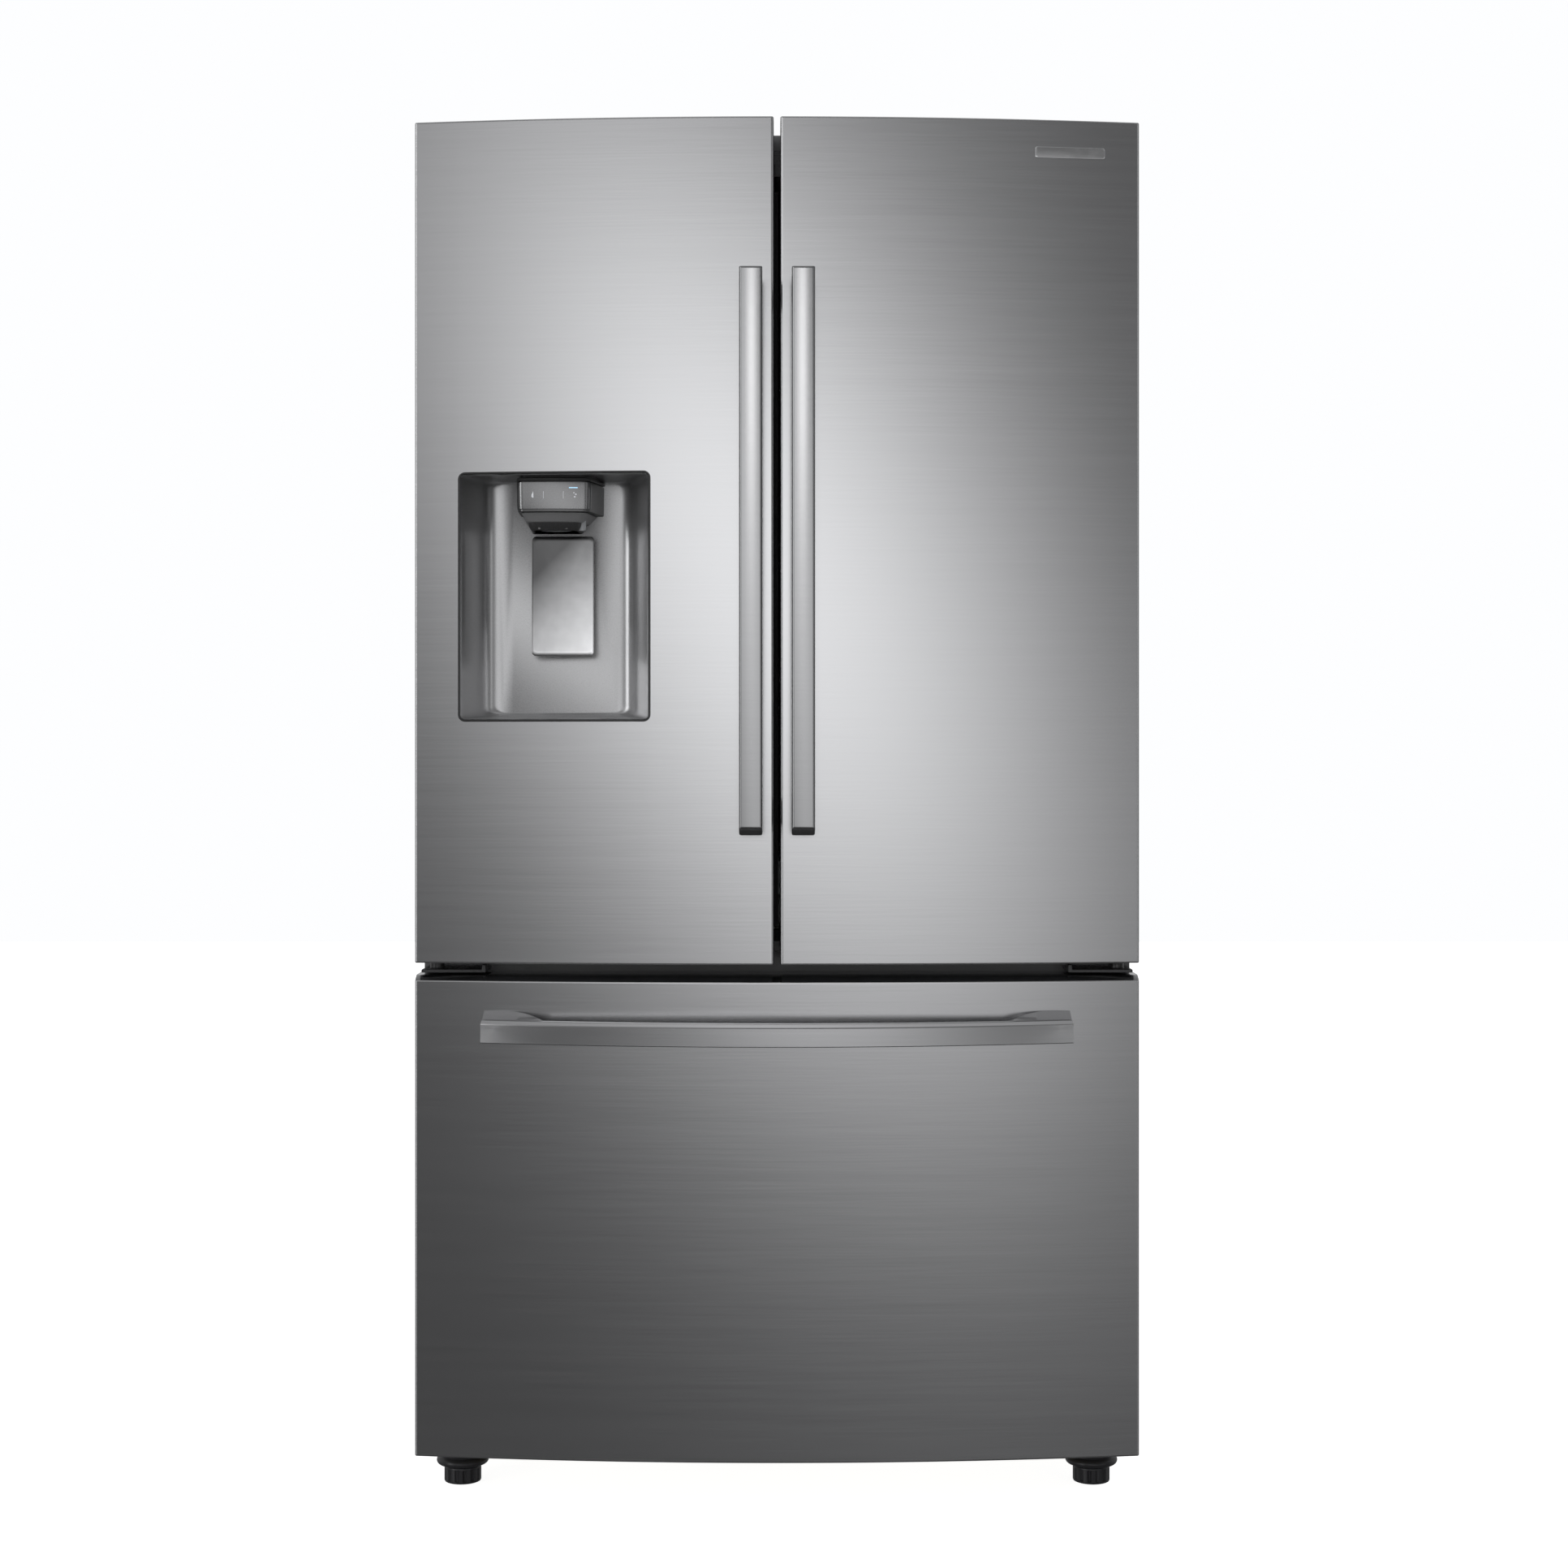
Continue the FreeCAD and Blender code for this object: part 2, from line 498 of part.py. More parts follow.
drawer_y, crisper_z = ("-drawer_front", "cavity_back - 40"), ("836", "1000")
for side, sign, way in SIDES:
    crisper_x = side_span(side, "6", "cavity_half - 12")
    node(f"{side}_crisper", tub(f"{side}_crisper", crisper_x, drawer_y, crisper_z))
node("pantry_drawer", tub("pantry_drawer", ("-cavity_half + 6", "cavity_half - 6"), drawer_y, ("714", "808")))
tray_y = ("-tray_front", "cavity_back - 30")
tray_pieces = [tub("tray_body", ("-380", "380"), tray_y, ("400", "590"))]
for side, sign, way in SIDES:
    tray_pieces.append(box(f"tray_hook_{side}", side_span(side, "380", "404"), tray_y, ("584", "590")))
node("freezer_tray", group("freezer_tray", tray_pieces))

# ---------------------------------------------------------------- freezer slides
slide_y, slide_z = ("-slide_front", "step_front - 8"), ("slide_low", "slide_high")
groove_y = ("-slide_front - 1", "step_front")


def slide_pair(name, bar):
    """A slide bar on the right with its mirror image on the left."""
    return node(name, group(name, [bar, mirror(name + "_left", bar)]))


outer_block = box("outer_bar_block", ("396", "cavity_half"), slide_y, slide_z)
outer_groove = box("outer_bar_groove", ("395", "402"), groove_y, grow(slide_z, "-5"))
slide_pair("outer_slides", cut("outer_bar", outer_block, outer_groove))
slide_pair("middle_slides", fuse("middle_bar", [
    box("middle_bar_head", ("396.5", "401.5"), slide_y, grow(slide_z, "-5.5")),
    box("middle_bar_web", ("387", "396.5"), slide_y, grow(slide_z, "-8")),
]))
inner_block = box("inner_bar_block", ("382", "395"), slide_y, slide_z)
inner_groove = box("inner_bar_groove", ("386.4", "396"), groove_y, grow(slide_z, "-7.5"))
inner_arm = box("inner_arm", ("378", "395"), ("-door_back", "-slide_front"), grow(slide_z, "10"))
slide_pair("drawer_slides", fuse("inner_set", [cut("inner_bar", inner_block, inner_groove), inner_arm]))

# ---------------------------------------------------------------- hinges
pin_at = {side: (f"{sign}hinge_x", "-hinge_y") for side, sign, way in SIDES}
top_plate = box("top_plate", ("408", "444"), ("-334", "-200"), ("case_top", "case_top + 3"))
top_hinge = fuse("top_hinge", [
    fillet("top_plate_round", top_plate, "10", lambda edge: runs_along(edge, "z")),
    cylinder("top_pin", "z", pin_at["right"], "pin_radius", "door_top - 28", "case_top"),
])
node("top_hinges", group("top_hinges", [top_hinge, mirror("top_hinge_left", top_hinge)]))

cover_low = "case_top + 3.5"
cover_points = [("-flange_front", "case_top"), ("-cover_rear", "case_top"), ("-cover_rear", "cover_high"),
                ("-213", "cover_high"), ("-cover_front", "1751"), ("-cover_front", cover_low),
                ("-flange_front", cover_low)]
cover_block = prism("hinge_cover_block", "x", cover_points, "cover_inner", "cover_outer")
cover_pocket = box("hinge_cover_pocket", ("407", "445"), ("-335", "-199"), ("case_top - 1", cover_low))
cover = cut("hinge_cover", cover_block, cover_pocket)
node("hinge_covers", group("hinge_covers", [cover, mirror("hinge_cover_left", cover)]))

mid_plate = fuse("mid_plate", [
    box("mid_shelf", ("366", "447"), ("-plate_front", "-flange_front"), ("plate_low", "plate_high")),
    box("mid_leg", ("400", "447"), ("-flange_front - 3", "-flange_front"), ("660", "plate_low")),
    box("mid_hook", ("366", "371"), ("-plate_front", "-325"), ("plate_high", "plate_high + 6")),
    cylinder("mid_collar", "z", pin_at["right"], "9", "plate_high", "door_bottom - 0.4"),
    cylinder("mid_pin", "z", pin_at["right"], "pin_radius", "plate_high", "door_bottom + 26"),
])
node("middle_hinges", group("middle_hinges", [mid_plate, mirror("mid_plate_left", mid_plate)]))

# ---------------------------------------------------------------- shapes shared by the doors and the dispenser
door_x = {"left": ("-half_width", "-gap_half"), "right": ("gap_half", "half_width")}
door_in_x = {side: grow(door_x[side], "-sheet") for side in door_x}
recess_x, recess_z = ("recess_left", "recess_right"), ("recess_low", "recess_high")
panel_front = "-door_back - liner"
housing_back = "-recess_back + housing_wall"


def recess_form(name, offset):
    """The dispenser recess as a solid, grown by offset."""
    x, z = grow(recess_x, offset), grow(recess_z, offset)
    mouth = box(name + "_mouth", x, ("-front_centre - 20", "-recess_straight"), z)
    back_x, back_z = grow(x, "-side_draft"), (f"{z[0]} + floor_draft", z[1])
    depth = ("-recess_straight", f"-recess_back + ({offset})")
    return fuse(name, [mouth, wedge(name + "_taper", depth, x, back_x, z, back_z)])


def opening(name, offset, radius):
    """The rounded rectangle of the recess mouth, grown by offset, through the door front only."""
    depth = ("-front_centre - 20", "-recess_straight + 6")
    block = box(name + "_block", grow(recess_x, offset), depth, grow(recess_z, offset))
    return fillet(name, block, radius, lambda edge: runs_along(edge, "y"))


# ---------------------------------------------------------------- door skins
def door_skin(side):
    """A bent sheet: the curved front and the two sides, open at top, bottom and back."""
    z = ("door_bottom", "door_top")
    outer = front_slab(f"{side}_skin_slab", "0", door_x[side], "-door_back", z)
    inner = front_slab(f"{side}_skin_air", "sheet", door_in_x[side], "-door_back + 1", grow(z, "1"))
    outer = fillet(f"{side}_skin_outer", outer, "edge_round", front_upright)
    inner = fillet(f"{side}_skin_inner", inner, "edge_round - sheet", front_upright)
    return cut(f"{side}_skin_shell", outer, inner)


skin_hole = opening("skin_opening", "bezel", "bezel + 5")
node("left_door_skin", cut("left_skin_cut", door_skin("left"), skin_hole))
node("right_door_skin", door_skin("right"))


# ---------------------------------------------------------------- door end caps and foam
core_z = ("door_bottom + cap_thick", "door_top - cap_thick")


def door_caps(side):
    """The top and bottom caps, each with a bored boss on the hinge line."""
    inside = grow(door_in_x[side], "-0.5")
    over, under = core_z
    low_boss, high_boss = "door_bottom + boss_deep", "door_top - boss_deep"
    limits = {
        "top": ((under, "door_top"), (high_boss, under), ("door_top - 30", "door_top + 1")),
        "low": (("door_bottom", over), (over, low_boss), ("door_bottom - 1", "door_bottom + 30")),
    }
    caps = []
    for end, (cap_z, boss_z, hole_z) in limits.items():
        slab = front_slab(f"{side}_{end}_cap_slab", "sheet + 2", inside, panel_front, cap_z)
        boss = cylinder(f"{side}_{end}_boss", "z", pin_at[side], "boss_radius", *boss_z)
        hole = cylinder(f"{side}_{end}_bore", "z", pin_at[side], "pin_radius + pin_play", *hole_z)
        caps.append(cut(f"{side}_{end}_cap", fuse(f"{side}_{end}_cap_body", [slab, boss]), hole))
    return group(f"{side}_door_caps", caps)


hole_x, hole_z = grow(recess_x, "bezel"), grow(recess_z, "bezel")
rim_z = ("fridge_floor + 10", "fridge_ceiling - 10")
rim_span = {side: side_span(side, "plug_inner", "plug_outer") for side in door_x}
bar_x = {side: grow(rim_span[side], "-liner") for side in door_x}
bar_z = grow(rim_z, "-liner")
bar_wide = "(dyke_wide - 2 * liner)"
bar_y = (panel_front, "-door_back + dyke_deep - liner")
draft_slope = "side_draft / (recess_straight - recess_back + housing_wall)"
draft_reach = f"{draft_slope} * (recess_straight - door_back - liner)"
housing_left = f"recess_left - bezel + {draft_reach}"


def slab_foam(side):
    """The flat part of a door's foam in convex blocks, with room for the hinge bosses."""
    low, high = door_in_x[side]
    deep = "sheet + 2"
    if side == "right":
        blocks = [front_slab("right_core_slab", deep, (low, high), panel_front, core_z)]
    else:
        blocks = [
            front_slab("left_core_outer", deep, (low, hole_x[0]), panel_front, core_z),
            front_slab("left_core_inner", deep, (hole_x[1], high), panel_front, core_z),
            front_slab("left_core_above", "sheet", hole_x, panel_front, (hole_z[1], core_z[1])),
            front_slab("left_core_below", "sheet", hole_x, panel_front, (core_z[0], hole_z[0])),
        ]
    spans = {"top": ("door_top - boss_deep", "door_top"), "low": ("door_bottom", "door_bottom + boss_deep")}
    sockets = []
    for end, z in spans.items():
        sockets.append(cylinder(f"{side}_socket_{end}", "z", pin_at[side], "boss_radius", *z))
    blocks[0] = cut(f"{side}_core_socketed", blocks[0], group(f"{side}_sockets", sockets))
    return blocks


def rim_foam_bars(side):
    """The foam inside the raised rim; behind the dispenser the left one is thinner, with a slanted filler."""
    pieces = bars(f"{side}_rim_foam", bar_x[side], bar_z, bar_wide, bar_y)
    if side == "left":
        first_x = (bar_x["left"][0], f"{bar_x['left'][0]} + {bar_wide}")
        filler = [(first_x[0], bar_y[0]), (housing_left, bar_y[0]),
                  ("recess_left - bezel + side_draft", housing_back), (first_x[0], housing_back)]
        pieces[2:3] = [
            box("left_rim_foam_under", first_x, bar_y, (f"{bar_z[0]} + {bar_wide}", hole_z[0])),
            box("left_rim_foam_over", first_x, bar_y, (hole_z[1], f"{bar_z[1]} - {bar_wide}")),
            box("left_rim_foam_behind", first_x, (housing_back, bar_y[1]), hole_z),
            prism("left_rim_filler", "z", filler, *hole_z),
        ]
    return pieces


def inner_panel(side, rim_foam):
    """The plastic inner panel: a sheet with a hollow raised rim."""
    rim = ring(f"{side}_rim", rim_span[side], rim_z, "dyke_wide", ("-door_back", "-door_back + dyke_deep"))
    plate = box(f"{side}_plate", door_in_x[side], (panel_front, "-door_back"), ("door_bottom", "door_top"))
    hollow = group(f"{side}_rim_hollow", rim_foam)
    return cut(f"{side}_panel", fuse(f"{side}_panel_body", [plate, rim]), hollow)


# the left door's inner panel swells out behind the dispenser
swell_x = ("-plug_outer + dyke_wide - liner", "swell_right")
swell_z = grow(recess_z, "swell_margin")
swell_in_x, swell_in_z = grow(swell_x, "-liner"), grow(swell_z, "-liner")


def swell_panel(panel):
    """The left inner panel with its swelling, and two bored lugs for the flip mullion's pin."""
    swelling = box("swell_out", swell_x, ("-door_back", "-swell_back"), swell_z)
    tools = group("swell_tools", [
        box("swell_hollow", swell_in_x, ("-door_back - 5", "-swell_back - liner"), swell_in_z),
        box("housing_passage", (housing_left, swell_x[1]), ("-door_back - 5", housing_back), hole_z),
    ])
    pieces = [cut("left_panel_swell", fuse("left_panel_full", [panel, swelling]), tools)]
    for end, z in (("low", "fridge_floor + 14"), ("high", "fridge_ceiling - 19")):
        lug_x, lug_y = ("-plug_inner", "-flip_x + 5"), ("-flip_y - 5", "-flip_y + 5")
        lug = box(f"lug_block_{end}", lug_x, lug_y, (z, f"{z} + 5"))
        bore_z = (f"{z} - 1", f"{z} + 6")
        bore = cylinder(f"lug_bore_{end}", "z", ("-flip_x", "-flip_y"), "flip_pin + pin_play", *bore_z)
        pieces.append(cut(f"lug_{end}", lug, bore))
    return fuse("left_panel_lugs", pieces)


def swell_foam():
    """The foam in the swelling, and the gussets beside the drafted walls of the dispenser housing."""
    pieces = [box("swell_foam", swell_in_x, (housing_back, "-swell_back - liner"), swell_in_z)]
    for part, edge, way in (("left", hole_x[0], 1), ("right", hole_x[1], -1)):
        tip = f"{edge} + {way} * {draft_reach}"
        corners = [(edge, "-recess_straight + 4"), (edge, panel_front), (tip, panel_front)]
        pieces.append(prism(f"{part}_gusset", "z", corners, *hole_z))
    return pieces


def door_seal(side):
    seal_x = side_span(side, "gasket_free", "gasket_outer")
    seal_y = ("-door_back", "-gasket_back")
    pieces = bars(f"{side}_seal", seal_x, ("694", "case_top - 5"), "gasket_width", seal_y)
    if side == "right":
        fin_x, fin_y = ("gap_half + 0.4", "gasket_free"), ("-door_back", "-door_back + 5")
        pieces.append(box("seal_fin", fin_x, fin_y, ("720", "case_top - 25")))
    return group(f"{side}_door_gasket", pieces)


def door_handle(side):
    """A flat bar with a slanted lower end on two posts."""
    grip_x = side_span(side, "handle_x - handle_half", "handle_x + handle_half")
    back = "-handle_front + handle_deep"
    corners = [("-handle_front", "handle_low"), (back, "handle_low - handle_drop"), (back, "handle_high"),
               ("-handle_front", "handle_high")]
    grip = prism(f"{side}_grip", "x", corners, *grip_x)
    grip = fillet(f"{side}_grip_round", grip, "2.6",
                  lambda edge: runs_along(edge, "z") and edge.BoundBox.YMax < value("-handle_front") + 1)
    pieces = [grip]
    for end, z in (("low", ("handle_low + 2", "handle_low + 2 + post_high")),
                   ("high", ("handle_high - 2 - post_high", "handle_high - 2"))):
        block = box(f"{side}_post_block_{end}", grow(grip_x, "-1.5"), (back, "-370"), z)
        trim = drum(f"{side}_post_trim_{end}", "0", "handle_low - 50", "handle_high + 50")
        pieces.append(cut(f"{side}_post_{end}", block, trim))
    return group(f"{side}_door_handle", pieces)


BIN_HEIGHTS = {
    "left": (("756", "900"), ("1340", "1440"), ("1530", "1610")),
    "right": (("756", "900"), ("1010", "1120"), ("1240", "1340"), ("1450", "1540")),
}


def door_bins(side):
    bin_x = grow(rim_span[side], "-(dyke_wide + 1)")
    bin_y = ("-bin_front", "-bin_back")
    pieces = [tub(f"{side}_bin_{k}", bin_x, bin_y, z, "bin_wall") for k, z in enumerate(BIN_HEIGHTS[side])]
    return group(f"{side}_door_bins", pieces)


for side, sign, way in SIDES:
    node(f"{side}_door_caps", door_caps(side))
    rim_foam = rim_foam_bars(side)
    core = slab_foam(side) + rim_foam
    panel = inner_panel(side, rim_foam)
    if side == "left":
        core += swell_foam()
        panel = swell_panel(panel)
    node(f"{side}_door_core", group(f"{side}_door_core", core))
    node(f"{side}_door_liner", panel)
    node(f"{side}_door_gasket", door_seal(side))
    node(f"{side}_door_handle", door_handle(side))
    node(f"{side}_door_bins", door_bins(side))

# ---------------------------------------------------------------- dispenser housing and frame
cavity = fillet("recess_cavity", recess_form("recess_inner", "0"), "12",
                lambda edge: edge.BoundBox.YMin > -361 and edge.BoundBox.YLength > 60)
housing = cut("housing_body", recess_form("recess_outer", "housing_wall"), cavity)
drum_z = ("recess_low - 95", "recess_high + 99")
housing_pieces = [common("housing_flush", housing, drum("behind_bezel", "bezel_deep", *drum_z))]
lug_y, lug_z = ("-paddle_y - 6", "-recess_back"), ("paddle_z - 6", "paddle_z + 7")
pivot_at = ("-paddle_y", "paddle_z")
lug_spans = {
    "left": ("paddle_left - 7", "paddle_left - 3"),
    "right": ("paddle_right + 3", "paddle_right + 7"),
}
for side, lug_x in lug_spans.items():
    lug = box(f"pivot_lug_block_{side}", lug_x, lug_y, lug_z)
    bore = cylinder(f"pivot_lug_bore_{side}", "x", pivot_at, "paddle_pin + pin_play", *grow(lug_x, "1"))
    housing_pieces.append(cut(f"pivot_lug_{side}", lug, bore))
node("dispenser_housing", fuse("dispenser_housing", housing_pieces))

frame_ring = cut("bezel_ring", opening("bezel_out", "bezel", "bezel + 5"), opening("bezel_in", "0", "6"))
frame_front = common("bezel_front", frame_ring, drum("bezel_face", "-proud", *drum_z))
node("dispenser_bezel", cut("dispenser_bezel", frame_front, drum("bezel_behind", "bezel_deep", *drum_z)))

# ---------------------------------------------------------------- dispenser pod, panel, chute and paddle
pod_x, pod_back = ("pod_left", "pod_right"), "-recess_back"
head_block = box("pod_head_block", pod_x, ("-pod_front", pod_back), ("pod_low", "recess_high"))
head = fillet("pod_head", head_block, "7",
              lambda edge: runs_along(edge, "z") and edge.BoundBox.YMax < value("-pod_front") + 8)
collar_low = "pod_low - collar_high"
collar_points = [("pod_left + 5", "pod_low"), ("pod_right - 5", "pod_low"), ("pod_right - 11", collar_low),
                 ("pod_left + 12", collar_low)]
collar = prism("pod_collar", "y", collar_points, "-pod_front + 6", pod_back)
throat_z = (f"{collar_low} - throat_high", collar_low)
throat = box("pod_throat", ("pod_left + 14", "pod_right - 8"), ("-pod_front + 14", pod_back), throat_z)
bore_x, bore_y = ("pod_left + 18", "pod_right - 12"), ("-pod_front + 18", f"{pod_back} - 6")
bore = box("pod_bore", bore_x, bore_y, (f"{throat_z[0]} - 8", "pod_low + 6"))
node("dispenser_pod", cut("dispenser_pod", fuse("pod_solid", [head, collar, throat]), bore))

panel_y, panel_z = ("-pod_front - 1.5", "-pod_front"), ("pod_low + 3", "recess_high - 8")
panel_block = box("panel_block", grow(pod_x, "-3"), panel_y, panel_z)
panel_plate = fillet("panel_plate", panel_block, "3", lambda edge: runs_along(edge, "y"))
groove_y, groove_z = ("-pod_front - 2", "-pod_front - 1"), ("pod_low + 16", "pod_low + 28")
grooves = [box(f"panel_groove_{k}", (f"pod_left + {x}", f"pod_left + {x} + 0.6"), groove_y, groove_z)
           for k, x in enumerate((31.5, 60))]
node("control_panel", cut("control_panel", panel_plate, group("panel_grooves", grooves)))

chute_x, chute_y = ("pod_left + 18", "pod_right - 18"), ("-pod_front + 20", f"{pod_back} - 8")
chute_z = ("pod_low - 20", "pod_low + 4")
chute_in_x, chute_in_y = grow(chute_x, "-chute_wall"), grow(chute_y, "-chute_wall")
node("dispenser_chute", group("dispenser_chute", [
    box("chute_left", (chute_x[0], chute_in_x[0]), chute_y, chute_z),
    box("chute_right", (chute_in_x[1], chute_x[1]), chute_y, chute_z),
    box("chute_front", chute_in_x, (chute_y[0], chute_in_y[0]), chute_z),
    box("chute_back", chute_in_x, (chute_in_y[1], chute_y[1]), chute_z),
]))

paddle_x = ("paddle_left", "paddle_right")
plate_back, lower_back = "-paddle_y - 5", "-paddle_y - 5 - paddle_lean"
plate_points = [(f"{lower_back} - paddle_thick", "paddle_low"), (lower_back, "paddle_low"),
                (plate_back, "paddle_high"), (f"{plate_back} - paddle_thick", "paddle_high")]
plate = prism("paddle_plate", "x", plate_points, *paddle_x)
plate = fillet("paddle_round", plate, "5",
               lambda edge: edge.BoundBox.XLength < 0.01 and edge.BoundBox.ZLength < 1)
web_y, web_z = (f"{plate_back} - 1", "-paddle_y"), ("paddle_z - 3", "paddle_z + 3")
node("dispenser_paddle", fuse("dispenser_paddle", [
    plate,
    cylinder("paddle_pivot", "x", pivot_at, "4", *grow(paddle_x, "2")),
    cylinder("paddle_pins", "x", pivot_at, "paddle_pin", *grow(paddle_x, "6.5")),
    box("paddle_web", grow(paddle_x, "-10"), web_y, web_z),
]))

# ---------------------------------------------------------------- flip mullion and badge
mullion_points = [("-54", "-280.7"), ("1.5", "-280.7"), ("1.5", "-271"), ("-6.5", "-263"), ("-54", "-263")]
flip_pin_z = ("fridge_floor + 13", "fridge_ceiling - 13")
node("flip_mullion", fuse("flip_mullion", [
    prism("mullion_bar", "z", mullion_points, "fridge_floor + 20", "fridge_ceiling - 20"),
    cylinder("mullion_pin", "z", ("-flip_x", "-flip_y"), "flip_pin", *flip_pin_z),
]))

badge_block = box("badge_block", ("322", "410"), ("-front_centre", "-340"), ("1695", "1709"))
badge_front = common("badge_front", badge_block, drum("badge_face", "-proud", "1600", "1800"))
node("badge", cut("badge", badge_front, drum("badge_behind", "0", "1600", "1800")))


# ---------------------------------------------------------------- freezer drawer
def drawer_form(name, inset, back, low, top_trim):
    """The drawer front between its sides with the sloping top lip, moved inwards by inset."""
    lip_z = "drawer_top - bevel_rise"
    radius = f"{FRONT_RADIUS} - ({inset})"
    straight = drum(name + "_drum", inset, f"({low}) - 1", lip_z)
    axis_y = f"{FRONT_RADIUS} - front_centre"
    lip = cone(name + "_lip", radius, f"{radius} - bevel_run", "bevel_rise", axis_y, lip_z)
    x, y = (f"-half_width + ({inset})", f"half_width - ({inset})"), ("-front_centre - 20", back)
    limits = box(name + "_limits", x, y, (low, f"drawer_top - ({top_trim})"))
    return common(name, fuse(name + "_turned", [straight, lip]), limits)


skin_form = drawer_form("drawer_form_out", "0", "-door_back", "drawer_bottom", "0")
air_form = drawer_form("drawer_form_in", "sheet", "-door_back + 1", "drawer_bottom + sheet", "sheet")
skin_out = fillet("drawer_skin_out", skin_form, "edge_round", front_upright)
skin_in = fillet("drawer_skin_in", air_form, "edge_round - sheet", front_upright)
node("drawer_skin", cut("drawer_skin", skin_out, skin_in))

drawer_in_x = ("-half_width + sheet", "half_width - sheet")
drawer_core_z = ("drawer_bottom + cap_thick", "drawer_top - cap_thick")
plug_x, plug_z = ("-376", "376"), ("130", "615")
plug_in_x, plug_in_z = grow(plug_x, "-liner"), grow(plug_z, "-liner")
node("drawer_core", group("drawer_core", [
    front_slab("drawer_slab", "sheet + 2", drawer_in_x, panel_front, drawer_core_z),
    box("drawer_plug_foam", plug_in_x, (panel_front, "-264"), plug_in_z),
]))
low_cap_z = ("drawer_bottom + sheet", drawer_core_z[0])
top_cap_z = (drawer_core_z[1], "drawer_top - sheet")
node("drawer_caps", group("drawer_caps", [
    front_slab("drawer_cap_low", "sheet + 2", drawer_in_x, panel_front, low_cap_z),
    front_slab("drawer_cap_top", "sheet + bevel_run", drawer_in_x, panel_front, top_cap_z),
]))
drawer_plate = box("drawer_plate", drawer_in_x, (panel_front, "-door_back"), (low_cap_z[0], top_cap_z[1]))
drawer_plug = box("drawer_plug", plug_x, ("-door_back", "-262"), plug_z)
plug_air = box("drawer_plug_air", plug_in_x, ("-door_back - 3", "-264"), plug_in_z)
node("drawer_liner", cut("drawer_liner", fuse("drawer_liner_body", [drawer_plate, drawer_plug]), plug_air))
seal_x, seal_y = ("-gasket_outer", "gasket_outer"), ("-door_back", "-gasket_back")
seal_bars = bars("drawer_seal", seal_x, ("80", "658"), "gasket_width", seal_y)
node("drawer_gasket", group("drawer_gasket", seal_bars))
node("freezer_basket", tub("freezer_basket", plug_x, ("-basket_front", "step_front - 12"), ("110", "296")))

# ---------------------------------------------------------------- drawer handle
bow_y = f"{BOW_RADIUS} - handle_front"
bow_top = "bow_high - bow_slope"
bow_face = cylinder("bow_face", "z", ("0", bow_y), BOW_RADIUS, "bow_low", bow_top)
bow_lip = cone("bow_lip", BOW_RADIUS, f"{BOW_RADIUS} - bow_slope", "bow_slope", bow_y, bow_top)
bow_back = cylinder("bow_back", "z", ("0", bow_y), f"{BOW_RADIUS} - bow_deep", "bow_low - 1", "bow_high + 1")
bow_span = box("bow_span", ("-bow_half", "bow_half"), ("-handle_front - 1", "-380"), ("bow_low", "bow_high"))
bow = common("bow", cut("bow_arc", fuse("bow_turned", [bow_face, bow_lip]), bow_back), bow_span)
foot_points = [("-bow_half", "-396"), ("-290", "-409"), ("-300", "-401"), ("-318", "-389"), ("-340", "-377"),
               ("-350", "-366"), ("-bow_half", "-350")]
slope_points = [("-420", "bow_low - 5"), ("-420", "bow_high - 3"), ("-404", "bow_high - 1"),
                ("-366", "bow_high + 9"), ("-340", "bow_high + 16"), ("-340", "bow_low - 5")]
foot_rise = prism("foot_rise", "z", foot_points, "bow_low + 1", "bow_high + 10")
foot_slope = prism("foot_slope", "x", slope_points, "-bow_half - 1", "-280")
foot_sloped = common("foot_sloped", foot_rise, foot_slope)
foot_left = cut("foot_left", foot_sloped, drum("foot_trim", "0", "500", "700"))
node("drawer_handle", fuse("drawer_handle", [bow, foot_left, mirror("foot_right", foot_left)]))

# ---------------------------------------------------------------- check and export
doc.recompute()
bad = [f"{o.Name}: {o.State}" for o in doc.Objects if "Invalid" in o.State or "Error" in o.State]
bad += [f"{name}: bad shape" for name, solid in nodes if solid.Shape.isNull() or not solid.Shape.isValid()]
if bad:
    raise SystemExit("\n".join(bad))
os.makedirs("parts", exist_ok=True)
for name, solid in nodes:
    solid.Shape.exportStep(f"parts/{name}.step")
print(len(nodes), "nodes")
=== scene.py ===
"""Looks of the french door refrigerator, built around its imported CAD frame. All sizes are in metres."""
import json
import math

import bmesh
import bpy
from mathutils import Matrix, Vector


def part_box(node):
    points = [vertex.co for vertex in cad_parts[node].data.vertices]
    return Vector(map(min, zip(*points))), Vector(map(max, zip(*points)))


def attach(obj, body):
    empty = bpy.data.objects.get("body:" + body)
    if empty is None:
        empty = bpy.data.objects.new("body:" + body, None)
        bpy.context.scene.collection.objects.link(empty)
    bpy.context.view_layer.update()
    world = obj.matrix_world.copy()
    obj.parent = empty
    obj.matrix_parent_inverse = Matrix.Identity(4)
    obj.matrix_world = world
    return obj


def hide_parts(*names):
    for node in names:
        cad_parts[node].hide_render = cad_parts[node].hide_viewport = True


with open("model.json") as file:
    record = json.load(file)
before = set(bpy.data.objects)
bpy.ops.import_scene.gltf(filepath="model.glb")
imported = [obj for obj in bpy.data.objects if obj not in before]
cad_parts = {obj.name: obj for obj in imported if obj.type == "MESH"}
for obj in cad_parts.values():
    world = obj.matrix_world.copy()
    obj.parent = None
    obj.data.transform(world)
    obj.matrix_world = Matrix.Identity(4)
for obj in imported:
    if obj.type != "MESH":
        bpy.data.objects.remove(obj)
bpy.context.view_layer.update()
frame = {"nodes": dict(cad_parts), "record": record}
MM = 0.001

